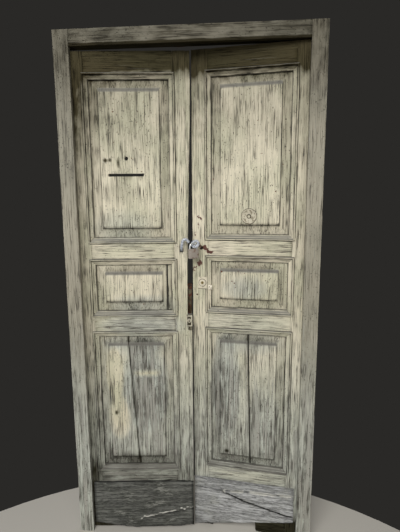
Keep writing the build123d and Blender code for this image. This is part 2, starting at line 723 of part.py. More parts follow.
def left_kickboard():
    """Board across the left leaf's foot, rotted along its lower edge."""
    foot = kick_line(LEFT, LEFT_KICK_FOOT)
    return sloped_board(LEFT, [(foot[0][0], KICK_TOP_Z), *foot, (foot[-1][0], KICK_TOP_Z)], KICK_T)


def right_kickboards():
    """Board across the right leaf's foot, split aslant in three, the middle piece standing proudest."""
    foot = kick_line(RIGHT, RIGHT_KICK_FOOT)
    low = kick_line(RIGHT, SPLIT_LOW)
    high = kick_line(RIGHT, SPLIT_HIGH)
    run = kick_line(RIGHT, SPLIT_TOP)
    start_u, end_u = foot[0][0], foot[-1][0]
    top = [*high, run[-1], (end_u, RIGHT_KICK_TOP_Z), (start_u, RIGHT_KICK_TOP_Z)]
    with BuildPart() as wedge:
        lower_side = [(u, z + SPLIT_GAP) for u, z in low]
        upper_side = [(u, z - SPLIT_GAP) for u, z in high]
        outline(RIGHT, [*lower_side, *reversed(upper_side[:-1])], (-KICK_T, 0))
    with BuildPart() as lower:
        outline(RIGHT, [*low, (end_u, run[-1][1] - SPLIT_GAP), *reversed(foot)], (-LOWER_KICK_T, 0))
    return [sloped_board(RIGHT, top, UPPER_KICK_T), wedge.part, lower.part]


def cover_strip():
    """What is left of the strip that covered the meeting edges, its outer arrises eased."""
    with BuildPart() as strip:
        top = CAPITAL_Z[0] - NECK_GAP - NECK_H - NECK_GAP
        block(LEFT, (REBATE_U, STRIP_EDGE_U), (KICK_TOP_Z, top), (-STRIP_PROUD, LIPPING_DEPTH))
        uprights = strip.edges().filter_by(Axis.Z)
        front = uprights.sort_by(Axis(LEFT.point(0, 0, 0), LEFT.plane.z_dir))[-2:]
        chamfer(front, STRIP_BEVEL)
    return strip.part


def strip_capital():
    """Carved block that headed the strip, its sunk face with a scroll, and the neck below it."""
    low, high = CAPITAL_Z
    neck_z = (low - NECK_GAP - NECK_H, low - NECK_GAP)
    field_u = (CAPITAL_U + CAPITAL_MARGIN, STRIP_EDGE_U - CAPITAL_MARGIN)
    field_z = (low + CAPITAL_MARGIN, high - CAPITAL_CAP_H)
    centre = ((field_u[0] + field_u[1]) / 2, (field_z[0] + field_z[1]) / 2)
    sunk = (-CAPITAL_PROUD, CAPITAL_SINK - CAPITAL_PROUD)
    with BuildPart() as capital:
        block(LEFT, (REBATE_U, STRIP_EDGE_U), (low, high), (0, LIPPING_DEPTH))
        block(LEFT, (CAPITAL_U, STRIP_EDGE_U), (low, high), (-CAPITAL_PROUD, 0))
        block(LEFT, field_u, field_z, sunk, Mode.SUBTRACT)
        disc(LEFT, centre, SCROLL_R, sunk)
        disc(LEFT, centre, SCROLL_R / 2, (sunk[0], sunk[0] + CAPITAL_SINK / 2), Mode.SUBTRACT)
        block(LEFT, (NECK_U, STRIP_EDGE_U), neck_z, (-NECK_PROUD, LIPPING_DEPTH))
        block(LEFT, (NECK_U + NECK_INSET, STRIP_EDGE_U), (neck_z[1], low), (-STRIP_PROUD, LIPPING_DEPTH))
    return capital.part


# Right leaf's lock and the round rose


def lock_plate():
    """Plate round the cylinder on the outer face."""
    with BuildPart() as plate:
        u = (LOCK_U - PLATE_W / 2, LOCK_U + PLATE_W / 2)
        z = (LOCK_Z - PLATE_H / 2, LOCK_Z + PLATE_H / 2)
        block(RIGHT, u, z, (-PLATE_T, 0))
        disc(RIGHT, (LOCK_U, LOCK_Z), CYLINDER_R + CYLINDER_PLAY, (-PLATE_T, 0), Mode.SUBTRACT)
    return plate.part


def lock_cylinder():
    """Round cylinder with its collar, bored for the plug."""
    at = (LOCK_U, LOCK_Z)
    with BuildPart() as cylinder:
        disc(RIGHT, at, COLLAR_R, (-PLATE_T - COLLAR_T, -PLATE_T))
        disc(RIGHT, at, CYLINDER_R, (-PLATE_T, CYLINDER_END))
        disc(RIGHT, at, PLUG_R + PLUG_PLAY, (-PLATE_T - COLLAR_T, PLUG_END), Mode.SUBTRACT)
    return cylinder.part


def lock_plug():
    """Plug that the key turns, with its keyway."""
    front = -PLATE_T - COLLAR_T
    with BuildPart() as plug:
        disc(RIGHT, (LOCK_U, LOCK_Z), PLUG_R, (front, PLUG_END - PLUG_PLAY))
        u = (LOCK_U - KEYWAY_W / 2, LOCK_U + KEYWAY_W / 2)
        z = (LOCK_Z - KEYWAY_H / 2, LOCK_Z + KEYWAY_H / 2)
        block(RIGHT, u, z, (front, front + KEYWAY_D), Mode.SUBTRACT)
    return plug.part


def lock_case():
    """Case of the rim lock on the inner face, with the bolt's channel and the bores for cylinder and spindle."""
    depth = (LEAF_T, LEAF_T + CASE_T)
    at = (LOCK_U, LOCK_Z)
    with BuildPart() as case:
        block(RIGHT, CASE_U, CASE_Z, depth)
        channel_u = (CASE_U[1] - BOLT_L - BOLT_PLAY, CASE_U[1])
        channel_z = (BOLT_Z[0] - BOLT_PLAY, BOLT_Z[1] + BOLT_PLAY)
        channel_depth = (BOLT_DEPTH[0] - BOLT_PLAY, BOLT_DEPTH[1] + BOLT_PLAY)
        block(RIGHT, channel_u, channel_z, channel_depth, Mode.SUBTRACT)
        disc(RIGHT, at, CYLINDER_R + CYLINDER_PLAY, (LEAF_T, CYLINDER_END + PLATE_T), Mode.SUBTRACT)
        disc(RIGHT, at, SPINDLE_R + PLUG_PLAY, (LEAF_T, depth[1]), Mode.SUBTRACT)
    return case.part


def lock_bolt():
    """Bolt of the rim lock, drawn back as the door stands."""
    with BuildPart() as bolt:
        block(RIGHT, (CASE_U[1] - BOLT_L, CASE_U[1]), BOLT_Z, BOLT_DEPTH)
    return bolt.part


def lock_knob():
    """Knob inside the house that draws the bolt, with its spindle."""
    back = LEAF_T + CASE_T
    at = (LOCK_U, LOCK_Z)
    with BuildPart() as knob:
        disc(RIGHT, at, SPINDLE_R, (CYLINDER_END + PLATE_T, back + KNOB_STANDOFF))
        disc(RIGHT, at, KNOB_R, (back + KNOB_STANDOFF, back + KNOB_STANDOFF + KNOB_T))
        rims = knob.edges().filter_by(GeomType.CIRCLE).filter_by(lambda e: abs(e.radius - KNOB_R) < 0.01)
        chamfer(rims.sort_by(Axis(RIGHT.point(0, 0, 0), RIGHT.plane.z_dir))[0], KNOB_BEVEL)
    return knob.part


def rose():
    """Round plate left on the upper panel where a knob was, with the hole in its middle."""
    front = FIELD_DEPTH - ROSE_T
    with BuildPart() as plate:
        disc(RIGHT, ROSE_AT, ROSE_R, (front, FIELD_DEPTH))
        disc(RIGHT, ROSE_AT, ROSE_R - ROSE_RIM, (front, front + ROSE_T / 2), Mode.SUBTRACT)
        disc(RIGHT, ROSE_AT, ROSE_HOLE_R, (front, FIELD_DEPTH), Mode.SUBTRACT)
    return plate.part


def lock_keep():
    """Box keep on the left leaf's inner face that takes the lock's bolt."""
    back = LEAF_T + CASE_T
    mouth_z = (BOLT_Z[0] - KEEP_PLAY, BOLT_Z[1] + KEEP_PLAY)
    mouth_depth = (BOLT_DEPTH[0] - KEEP_PLAY / 2, BOLT_DEPTH[1] + KEEP_PLAY)
    with BuildPart() as keep:
        block(LEFT, (KEEP_PLATE_U, LEFT.width), KEEP_Z, (LEAF_T, LEAF_T + KEEP_PLATE_T))
        block(LEFT, (KEEP_BOX_U, LEFT.width), KEEP_Z, (LEAF_T, back))
        block(LEFT, (KEEP_BACK_U, LEFT.width), mouth_z, mouth_depth, Mode.SUBTRACT)
    return keep.part


# Rod bolts of the left leaf


def rod_bolt(span, knob_z):
    """Round bolt with the knob that slides it."""
    centre = (ROD_U, LEAF_T + ROD_STANDOFF)
    with BuildPart() as bolt:
        upright(LEFT, centre, ROD_R, span)
        disc(LEFT, (ROD_U, knob_z), ROD_KNOB_R, (centre[1], centre[1] + ROD_KNOB_L))
    return bolt.part


def rod_guide(staples):
    """Back plate with the three square staples that guide a bolt."""
    centre = LEAF_T + ROD_STANDOFF
    reach = ROD_R + ROD_PLAY
    ends = (staples[0] - ROD_PLATE_END, staples[-1] + ROD_PLATE_END)
    crown = centre + ROD_R + STAPLE_WALL
    with BuildPart() as guide:
        block(LEFT, (ROD_U - ROD_PLATE_W / 2, ROD_U + ROD_PLATE_W / 2), ends, (LEAF_T, LEAF_T + ROD_PLATE_T))
        for z in staples:
            u = (ROD_U - STAPLE_W / 2, ROD_U + STAPLE_W / 2)
            block(LEFT, u, (z - STAPLE_H / 2, z + STAPLE_H / 2), (LEAF_T, crown))
        block(LEFT, (ROD_U - reach, ROD_U + reach), ends, (centre - reach, centre + reach), Mode.SUBTRACT)
    return guide.part


# Chain and padlock


def near_edge(offset):
    """A place given from the right leaf's meeting edge at the height of the upper panels' lower edge."""
    return RIGHT.point(RIGHT.width, UPPER_LOW_Z, 0) + Vector(offset)


def left_chain():
    """Sleeved end of the chain that leaves the left stile and curls over towards the shackle."""
    hole = LEFT.point(*LEFT_HOLE, CHAIN_HOLE_D)
    bend = LEFT.point(*LEFT_HOLE, -LEFT_TAIL_OUT)
    loop = [near_edge(offset) for offset in LEFT_LOOP]
    with BuildPart() as chain:
        with BuildLine() as route:
            FilletPolyline(hole, bend, *loop, radius=list(LEFT_LOOP_R))
        with BuildSketch(Plane(hole, z_dir=route.line % 0)):
            RegularPolygon(SLEEVE_R, SLEEVE_SIDES)
        sweep(path=route.line)
    return chain.part


def right_chain():
    """Eye of the sleeved chain that hangs on the shackle, and its tail from the right stile."""
    hole = RIGHT.point(*RIGHT_HOLE, CHAIN_HOLE_D)
    bend = RIGHT.point(*RIGHT_HOLE, -RIGHT_TAIL_OUT)
    eye = Plane(near_edge(EYE_AT), z_dir=EYE_AXIS)
    side = near_edge(EYE_TAIL_AT) - eye.origin
    spoke = (side - eye.z_dir * side.dot(eye.z_dir)).normalized()
    join = eye.origin + spoke * EYE_R
    with BuildPart() as chain:
        with BuildSketch(Plane(join, x_dir=spoke, z_dir=spoke.cross(eye.z_dir))):
            RegularPolygon(SLEEVE_R, SLEEVE_SIDES)
        revolve(axis=Axis(eye.origin, EYE_AXIS), revolution_arc=360)
        with BuildLine() as route:
            FilletPolyline(hole, bend, join, radius=[RIGHT_TAIL_R])
        with BuildSketch(Plane(hole, z_dir=route.line % 0)):
            RegularPolygon(SLEEVE_R, SLEEVE_SIDES)
        sweep(path=route.line)
    return chain.part


def padlock_plane(rise):
    """Level plane through the padlock, that far above its top, x along its width."""
    turn = radians(PADLOCK_TURN)
    centre = near_edge(PADLOCK_AT) + Vector(0, 0, rise)
    return Plane(centre, x_dir=(cos(turn), sin(turn), 0), z_dir=(0, 0, 1))


def padlock_body():
    """Solid body with the shackle's two holes and the plug's bore from below."""
    long_leg = SHACKLE_LONG_LEG + LEG_HOLE_SPARE
    short_leg = SHACKLE_SHORT_LEG + LEG_HOLE_SPARE
    with BuildPart() as body:
        with BuildSketch(padlock_plane(-PADLOCK_H)) as base:
            Rectangle(PADLOCK_W, PADLOCK_T)
            chamfer(base.vertices(), PADLOCK_CORNER)
        extrude(base.sketch, amount=PADLOCK_H)
        ends = body.faces().filter_by(Axis.Z).edges()
        chamfer(ends, PADLOCK_ARRIS)
        for x, deep in ((SHACKLE_SPAN / 2, long_leg), (-SHACKLE_SPAN / 2, short_leg)):
            with BuildSketch(padlock_plane(0)):
                with Locations((x, 0)):
                    Circle(SHACKLE_R + SHACKLE_PLAY)
            extrude(amount=-deep, mode=Mode.SUBTRACT)
        with BuildSketch(padlock_plane(-PADLOCK_H)):
            Circle(PADLOCK_PLUG_R + PADLOCK_PLUG_PLAY)
        extrude(amount=PADLOCK_PLUG_L, mode=Mode.SUBTRACT)
    return body.part


def padlock_shackle():
    """Bent bar of the padlock, its long leg held and its short leg free once the body drops."""
    half = SHACKLE_SPAN / 2
    level = padlock_plane(0)
    upright_plane = Plane(level.origin, x_dir=level.x_dir, z_dir=-level.y_dir)
    with BuildPart() as shackle:
        with BuildLine(upright_plane) as route:
            Line((half, -SHACKLE_LONG_LEG), (half, SHACKLE_RISE))
            ThreePointArc((half, SHACKLE_RISE), (0, SHACKLE_RISE + half), (-half, SHACKLE_RISE))
            Line((-half, SHACKLE_RISE), (-half, -SHACKLE_SHORT_LEG))
        with BuildSketch(padlock_plane(-SHACKLE_LONG_LEG)):
            with Locations((half, 0)):
                RegularPolygon(SHACKLE_R, SHACKLE_SIDES)
        sweep(path=route.wires()[0])
    return shackle.part


def padlock_plug():
    """Plug in the padlock's underside, with its keyway."""
    with BuildPart() as plug:
        with BuildSketch(padlock_plane(-PADLOCK_H)):
            Circle(PADLOCK_PLUG_R)
        extrude(amount=PADLOCK_PLUG_L - PADLOCK_PLUG_PLAY)
        with BuildSketch(padlock_plane(-PADLOCK_H)):
            Rectangle(KEYWAY_W, KEYWAY_H)
        extrude(amount=KEYWAY_D, mode=Mode.SUBTRACT)
    return plug.part


def main():
    """Build every piece and write it."""
    os.makedirs("parts", exist_ok=True)
    save(jamb(-1), "frame_jamb_left")
    save(jamb(1), "frame_jamb_right")
    save(head(), "frame_head")
    save(head_keep(), "frame_bolt_keep")
    for leaf in (LEFT, RIGHT):
        side = leaf.side
        save_group([frame_flap(side, z) for z in HINGE_Z], f"{leaf.name}_hinge_frame_flaps")
        save_group([leaf_flap(leaf, z) for z in HINGE_Z], f"{leaf.name}_hinge_leaf_flaps")
        save_group([hinge_pin(side, z) for z in HINGE_Z], f"{leaf.name}_hinge_pins")
        save(hinge_stile(leaf), f"{leaf.name}_hinge_stile")
        lower, middle, upper = leaf.openings
        spans = tenon_spans(leaf)
        rot = ROT_NOTCH if leaf is RIGHT else None
        bottom_rail = rail(leaf, leaf.bottom, lower[0], spans[0], False, True, rot=rot)
        save(bottom_rail, f"{leaf.name}_bottom_rail")
        save(rail(leaf, lower[1], middle[0], spans[1], True, True), f"{leaf.name}_lower_lock_rail")
        chain_hole = LEFT_HOLE if leaf is LEFT else RIGHT_HOLE
        upper_lock_rail = rail(leaf, middle[1], upper[0], spans[2], True, True, chain_hole)
        save(upper_lock_rail, f"{leaf.name}_upper_lock_rail")
        save(rail(leaf, upper[1], leaf.top, spans[3], True, False), f"{leaf.name}_top_rail")
        for name, opening in zip(PANEL_NAMES, leaf.openings):
            lengths = moulding_set(leaf, opening)
            if leaf is RIGHT and name == "middle":
                lengths = [cut_for_lock(length) for length in lengths]
            save_group(lengths, f"{leaf.name}_{name}_moulding")
    save(left_kickboard(), "left_kickboard")
    save_group(right_kickboards(), "right_kickboard")
    save(left_meeting_stile(), "left_meeting_stile")
    save_group(left_edge_lipping(), "left_edge_lipping")
    save(right_meeting_stile(), "right_meeting_stile")
    save(raised_panel(LEFT, LEFT.openings[0], LEFT_LOWER_CRACK), "left_lower_panel")
    save(raised_panel(LEFT, LEFT.openings[1], LEFT_MIDDLE_JOINT), "left_middle_panel")
    save(left_upper_panel(), "left_upper_panel")
    save(raised_panel(RIGHT, RIGHT.openings[0], RIGHT_LOWER_JOINT), "right_lower_panel")
    save(raised_panel(RIGHT, RIGHT.openings[1]), "right_middle_panel")
    save(raised_panel(RIGHT, RIGHT.openings[2]), "right_upper_panel")
    save(cover_strip(), "left_cover_strip")
    save(strip_capital(), "left_strip_capital")
    save(lock_plate(), "right_lock_plate")
    save(lock_cylinder(), "right_lock_cylinder")
    save(lock_plug(), "right_lock_plug")
    save(lock_case(), "right_lock_case")
    save(lock_bolt(), "right_lock_bolt")
    save(lock_knob(), "right_lock_knob")
    save(rose(), "right_rose")
    save(lock_keep(), "left_lock_keep")
    save(rod_bolt(TOP_ROD_Z, TOP_KNOB_Z), "left_top_bolt")
    save(rod_guide(TOP_STAPLES_Z), "left_top_bolt_guide")
    save(rod_bolt(BOTTOM_ROD_Z, BOTTOM_KNOB_Z), "left_bottom_bolt")
    save(rod_guide(BOTTOM_STAPLES_Z), "left_bottom_bolt_guide")
    save(left_chain(), "left_chain")
    save(right_chain(), "right_chain")
    save(padlock_body(), "padlock_body")
    save(padlock_shackle(), "padlock_shackle")
    save(padlock_plug(), "padlock_plug")


main()
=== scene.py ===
# %% [markdown]
# An old double door of panelled pine, painted many times and left in the weather, stands ajar in its frame
# and is held by a sleeved chain and a padlock. Every size comes from the measured model, which is loaded
# first. The boards are then worn and given paint, and the small ironwork is finished piece by piece.

# %% Load the measured model
import json
from math import cos, pi, radians, sin
from random import Random

import bmesh
import bpy
from mathutils import Matrix, Vector, noise


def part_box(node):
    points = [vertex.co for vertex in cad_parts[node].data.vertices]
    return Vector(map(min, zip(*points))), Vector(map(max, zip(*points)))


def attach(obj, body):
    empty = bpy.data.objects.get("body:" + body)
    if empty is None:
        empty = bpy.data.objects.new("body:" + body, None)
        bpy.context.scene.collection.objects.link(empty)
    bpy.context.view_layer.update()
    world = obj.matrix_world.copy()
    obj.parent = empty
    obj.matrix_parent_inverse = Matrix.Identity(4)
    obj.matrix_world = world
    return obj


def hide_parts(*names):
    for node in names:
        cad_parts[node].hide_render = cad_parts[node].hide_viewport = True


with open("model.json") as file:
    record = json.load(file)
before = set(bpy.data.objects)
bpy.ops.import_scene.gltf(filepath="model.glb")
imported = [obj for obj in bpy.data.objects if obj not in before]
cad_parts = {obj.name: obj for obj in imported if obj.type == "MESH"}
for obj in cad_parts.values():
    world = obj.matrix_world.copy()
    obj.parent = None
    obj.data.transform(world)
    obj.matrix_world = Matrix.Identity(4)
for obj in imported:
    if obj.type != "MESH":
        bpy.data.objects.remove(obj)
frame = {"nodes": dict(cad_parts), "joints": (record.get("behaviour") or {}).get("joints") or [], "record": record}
nodes = frame["nodes"]
bodies = frame["record"]["behaviour"]["bodies"]
body_of = {node: body for body, members in bodies.items() for node in members}
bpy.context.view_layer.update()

# %% [markdown]
# Each leaf hangs on a pivot line and stands a few degrees open. It is easier to think in a leaf's own
# directions: u from its hinge edge to its meeting edge, depth from its outer face into the wood, and z up.
# One matrix for each leaf turns such a place into a place in the room, and its inverse turns it back.

# %% The two leaves' own directions
MM = 0.001
PIVOT_TO_EDGE = 1.5
PIVOT_DEPTH = 53.0
LEAF_W = {"left": 537.0, "right": 530.5}
LEAF_T = 45.0
REST_ANGLE = {"left": 4.7, "right": 8.0}
CHAIN_Z = 1533.0


def leaf_matrix(leaf):
    """From (u, depth, z) in millimetres on a leaf to the room in metres."""
    side = -1 if leaf == "left" else 1
    angle = radians(REST_ANGLE[leaf])
    hinge = next(j for j in frame["joints"] if j["name"] == f"{leaf}_leaf_swing")
    along = Vector((-side * cos(angle), sin(angle), 0)) * MM
    inward = Vector((side * sin(angle), cos(angle), 0)) * MM
    origin = Vector(hinge["pos_m"]) + along * PIVOT_TO_EDGE - inward * PIVOT_DEPTH
    matrix = Matrix.Identity(4)
    for column, axis in enumerate((along, inward, Vector((0, 0, MM)))):
        matrix.col[column][:3] = axis
    matrix.col[3][:3] = origin
    return matrix


TO_ROOM = {leaf: leaf_matrix(leaf) for leaf in REST_ANGLE}
TO_ROOM["frame"] = Matrix.Diagonal((MM, MM, MM, 1))
NEAR_EDGE = TO_ROOM["right"] @ Vector((LEAF_W["right"], 0, CHAIN_Z))
print("the chain hangs by", [round(c, 4) for c in NEAR_EDGE])

# %% [markdown]
# Colours are easiest to pick as the hex values that a screen shows, but a shader works in linear light.
# One function turns the first into the second. A second small function adds a shader node, sets its
# sockets and links whatever feeds it, so each material below reads as a list of what is done to the light.
# Sockets go by number: a Math node takes its numbers in 0 to 2, a Map Range its value, its range and its
# new range in 0 to 4, a Mapping its place in 0 and its scale in 3, and a colour Mix its share in 0 and its
# two colours in 6 and 7. An attribute gives a vector in output 1 and a number in output 2.

# %% Colour and shader helpers
NOISE = "ShaderNodeTexNoise"
MAPPING = "ShaderNodeMapping"
MATH = "ShaderNodeMath"
RANGE = "ShaderNodeMapRange"
MIX = "ShaderNodeMix"
CARRIED = "ShaderNodeAttribute"
SOFT = {"interpolation_type": "SMOOTHSTEP"}


def linear(hex_value, alpha=1.0):
    """The linear colour of an sRGB hex value such as D9CFB8."""
    channels = [int(hex_value[i : i + 2], 16) / 255 for i in (0, 2, 4)]
    return [c / 12.92 if c <= 0.04045 else ((c + 0.055) / 1.055) ** 2.4 for c in channels] + [alpha]


def add_node(tree, kind, inputs, output=0, **settings):
    """Add a node with its settings, set or link its inputs, and give back one of its outputs."""
    node = tree.nodes.new(kind)
    for name, value in settings.items():
        setattr(node, name, value)
    for key, value in inputs.items():
        if isinstance(value, bpy.types.NodeSocket):
            tree.links.new(value, node.inputs[key])
        else:
            node.inputs[key].default_value = value
    return node.outputs[output]


def new_material(name):
    """An empty material with its shader and the node tree that feeds it."""
    material = bpy.data.materials.new(name)
    material.use_nodes = True
    tree = material.node_tree
    tree.nodes.clear()
    output = tree.nodes.new("ShaderNodeOutputMaterial")
    shader = tree.nodes.new("ShaderNodeBsdfPrincipled")
    tree.links.new(shader.outputs["BSDF"], output.inputs["Surface"])
    return material, tree, shader


# %% [markdown]
# The leaves are softwood under several coats of oil paint: a chalky cream over a greener one. Sun has
# opened the grain, so the paint has split along it and come away in slivers, and the wood that shows is
# silver grey. A texture in the room's directions would run across some boards and slide when a leaf opens,
# so each board carries its own coordinates (across, depth and along its grain), which the paint reads.
# Four more numbers on the mesh say how far a point lies outside its panel opening, how bare it is, how
# dirty or darkened by painted shade, and how rusty, and noise turns those soft marks into ragged flakes and
# stains.

# %% Patterns that run with the grain
MARKS = ("rim", "bare", "dirt_and_shade", "rust")
# Each pattern's size across and along the grain in millimetres, and its noise settings. The flecks are
# under 1 mm wide on the door, and are drawn 2.6 mm wide so that they show.
PAINT_PATTERNS = (
    (2.6, 120, {"Detail": 3.0, "Roughness": 0.75}),  # flecks in the grain
    (9.0, 330, {"Detail": 3.0, "Distortion": 0.15}),  # splits between the hard lines of the grain
    (36, 95, {"Detail": 6.0, "Roughness": 0.62}),  # patches that weather alike
    (190, 260, {"Detail": 3.0}),  # clouds of the greener coat
    (4.2, 8, {"Detail": 1.0}),  # small chips
    (11, 15, {"Detail": 3.0, "Roughness": 0.6}),  # blots of rust
)
print("patterns in the paint:", len(PAINT_PATTERNS))

# %% [markdown]
# Paint fails where several things come together, so the flecks, splits and patches are added up with the
# bareness that the mesh carries, and where the sum is high the paint has flaked. The shares of everything
# else are worked out in the same way: worn grain, hair cracks, the dark seams beside a bead and at a panel's
# steps (dirt and painted shade), grime with painted shade, dust on ledges and rust. Then the colours are laid
# over each other in the order in which they came to the door, each by its own share.

# %% Weathered oil paint on pine
# Where a moulding's beads and a panel's steps lie, in millimetres outside the panel opening.
BEAD_OUTER = 12.4
QUIRK = 3.0
LIP = -16.5
FIELD_STEP = -59.5
# A dark seam's width in millimetres where it is full and where it ends, and a crack's the same way, as a
# share of the split pattern. The seams are dirt and painted shade. The paint's thickness, which the relief
# shows, is drawn thicker than it is.
SEAM_DIRT_AND_SHADE_WIDTH = (0.8, 4.2)
CRACK = (0.006, 0.045)
COAT = 1.2 * MM


def oil_paint(name, cream, sage, flake_at):
    """Chalky, split oil paint over silvered pine, gone where its patterns add up to more than flake_at."""
    material, tree, shader = new_material(name)
    rim, bare, dirt_and_shade, rust = (add_node(tree, CARRIED, {}, 2, attribute_name=mark) for mark in MARKS)
    board = add_node(tree, CARRIED, {}, 1, attribute_name="board")
    noises = []
    for across, along, settings in PAINT_PATTERNS:
        place = add_node(tree, MAPPING, {0: board, 3: (1 / across, 1 / across, 1 / along)})
        noises.append(add_node(tree, NOISE, {"Vector": place, "Scale": 1.0, **settings}))
    fleck, split, patch, cloud, chip, blot = noises

    reach = 0.0
    for source, weight in ((fleck, 0.62), (split, 0.5), (patch, 0.28), (bare, 0.34)):
        reach = add_node(tree, MATH, {0: source, 1: weight, 2: reach}, operation="MULTIPLY_ADD")
    flaked = add_node(tree, RANGE, {0: reach, 1: flake_at, 2: flake_at + 0.09}, **SOFT)
    tint = add_node(tree, RANGE, {0: cloud, 1: 0.36, 2: 0.64}, **SOFT)
    chalked = add_node(tree, MATH, {0: bare, 1: 1.7}, operation="MULTIPLY", use_clamp=True)
    worn = add_node(tree, RANGE, {0: fleck, 1: 0.48, 2: 0.66}, **SOFT)
    grain = add_node(tree, MATH, {0: bare, 1: 0.9, 2: 0.42}, operation="MULTIPLY_ADD", use_clamp=True)
    worn = add_node(tree, MATH, {0: worn, 1: grain}, operation="MULTIPLY")
    timber = add_node(tree, RANGE, {0: split, 1: 0.38, 2: 0.62})
    timber = add_node(
        tree, MIX, {0: timber, 6: linear("5C5B54"), 7: linear("A6A59C")}, 2, data_type="RGBA"
    )

    middle = add_node(tree, MATH, {0: split, 1: 0.5}, operation="SUBTRACT")
    middle = add_node(tree, MATH, {0: middle}, operation="ABSOLUTE")
    crack = add_node(tree, RANGE, {0: middle, 1: CRACK[0], 2: CRACK[1], 3: 1.0, 4: 0.0})
    opened = add_node(tree, RANGE, {0: patch, 1: 0.4, 2: 0.6, 3: 0.1, 4: 0.9})
    crack = add_node(tree, MATH, {0: crack, 1: opened}, operation="MULTIPLY")
    chipped = add_node(tree, MATH, {0: cloud, 1: 0.2, 2: chip}, operation="MULTIPLY_ADD")
    chipped = add_node(tree, RANGE, {0: chipped, 1: 0.79, 2: 0.84})
    crack = add_node(tree, MATH, {0: crack, 1: chipped}, operation="MAXIMUM")

    # Dark seams beside the beads and at the steps: dirt, and painted shade in the quirks.
    nearest = 1000.0
    for line in (BEAD_OUTER, QUIRK, LIP, FIELD_STEP):
        offset = add_node(tree, MATH, {0: rim, 1: line}, operation="SUBTRACT")
        offset = add_node(tree, MATH, {0: offset}, operation="ABSOLUTE")
        nearest = add_node(tree, MATH, {0: nearest, 1: offset}, operation="MINIMUM")
    seam_dirt_and_shade = add_node(tree, RANGE, {0: nearest, 1: SEAM_DIRT_AND_SHADE_WIDTH[0], 2: SEAM_DIRT_AND_SHADE_WIDTH[1], 3: 1.0, 4: 0.0}, **SOFT)
    broken = add_node(tree, RANGE, {0: patch, 1: 0.34, 2: 0.6, 3: 0.2975, 4: 0.85})
    seam_dirt_and_shade = add_node(tree, MATH, {0: seam_dirt_and_shade, 1: broken}, operation="MULTIPLY")

    uneven = add_node(tree, MATH, {0: patch, 1: 1.1, 2: 0.45}, operation="MULTIPLY_ADD")
    grime_and_shade = add_node(tree, MATH, {0: dirt_and_shade, 1: uneven}, operation="MULTIPLY", use_clamp=True)
    normal = add_node(tree, "ShaderNodeNewGeometry", {}, 1)
    upward = add_node(tree, "ShaderNodeSeparateXYZ", {0: normal}, 2)
    dust = add_node(tree, RANGE, {0: upward, 1: 0.22, 2: 0.5, 3: 0.0, 4: 0.85})
    stain = add_node(tree, MATH, {0: blot, 1: rust}, operation="ADD")
    stain = add_node(tree, RANGE, {0: stain, 1: 0.92, 2: 1.02}, **SOFT)

    # The seams and the grime darken the paint: both are dirt together with painted shade, the grime over the top
    # of the door, the hinge sides, the meeting edge and under the head.
    colour = linear(cream)
    for share, over, blend in (
        (tint, linear(sage), "MIX"),
        (chalked, linear("BFC3B9"), "MIX"),
        (worn, linear("7F7A69"), "MIX"),
        (flaked, timber, "MIX"),
        (crack, linear("3E3930"), "MIX"),
        (seam_dirt_and_shade, linear("2F2B23"), "MIX"),
        (grime_and_shade, linear("4E4A3C"), "MULTIPLY"),
        (dust, linear("7B7972"), "MIX"),
        (stain, linear("5B352C"), "MIX"),
    ):
        layer = {0: share, 6: colour, 7: over}
        colour = add_node(tree, MIX, layer, 2, data_type="RGBA", blend_type=blend)
    tree.links.new(colour, shader.inputs["Base Color"])

    rough = add_node(tree, MATH, {0: flaked, 1: 0.25, 2: 0.62}, operation="MULTIPLY_ADD")
    tree.links.new(rough, shader.inputs["Roughness"])
    gloss = add_node(tree, RANGE, {0: grime_and_shade, 1: 0.0, 2: 1.0, 3: 0.5, 4: 0.05})
    tree.links.new(gloss, shader.inputs["Specular IOR Level"])
    height = 0.0
    for source, weight in ((worn, -0.4), (flaked, -0.5), (crack, -1.0)):
        height = add_node(tree, MATH, {0: source, 1: weight, 2: height}, operation="MULTIPLY_ADD")
    relief = add_node(tree, "ShaderNodeBump", {"Strength": 1.0, "Distance": COAT, "Height": height})
    tree.links.new(relief, shader.inputs["Normal"])
    return material


LEAF_PAINT = oil_paint("weathered_cream_oil_paint", "E4DBC3", "CECAAF", 0.85)
FRAME_PAINT = oil_paint("weathered_frame_oil_paint", "A39C8B", "8F8A7A", 0.83)
print("paint has", len(LEAF_PAINT.node_tree.nodes), "nodes")

# %% [markdown]
# The boards across the foot have lost their paint to splashing rain. They are grey-green and rough, deeply
# furrowed along their length, with black dirt in the furrows and a little grey paint left on the ridges.
# The left one is nearly black and the right one pale, so one function makes both from three colours each.

# %% Bare, grimy pine
FOOT_PATTERNS = (
    (3.0, 22, {"Detail": 4.0, "Roughness": 0.7}),  # weathered fibres, drawn coarser so that they show
    (9, 110, {"Detail": 4.0, "Distortion": 0.6}),  # furrows
    (70, 130, {"Detail": 5.0}),  # green patches
)
FURROW_RELIEF = 2.2 * MM


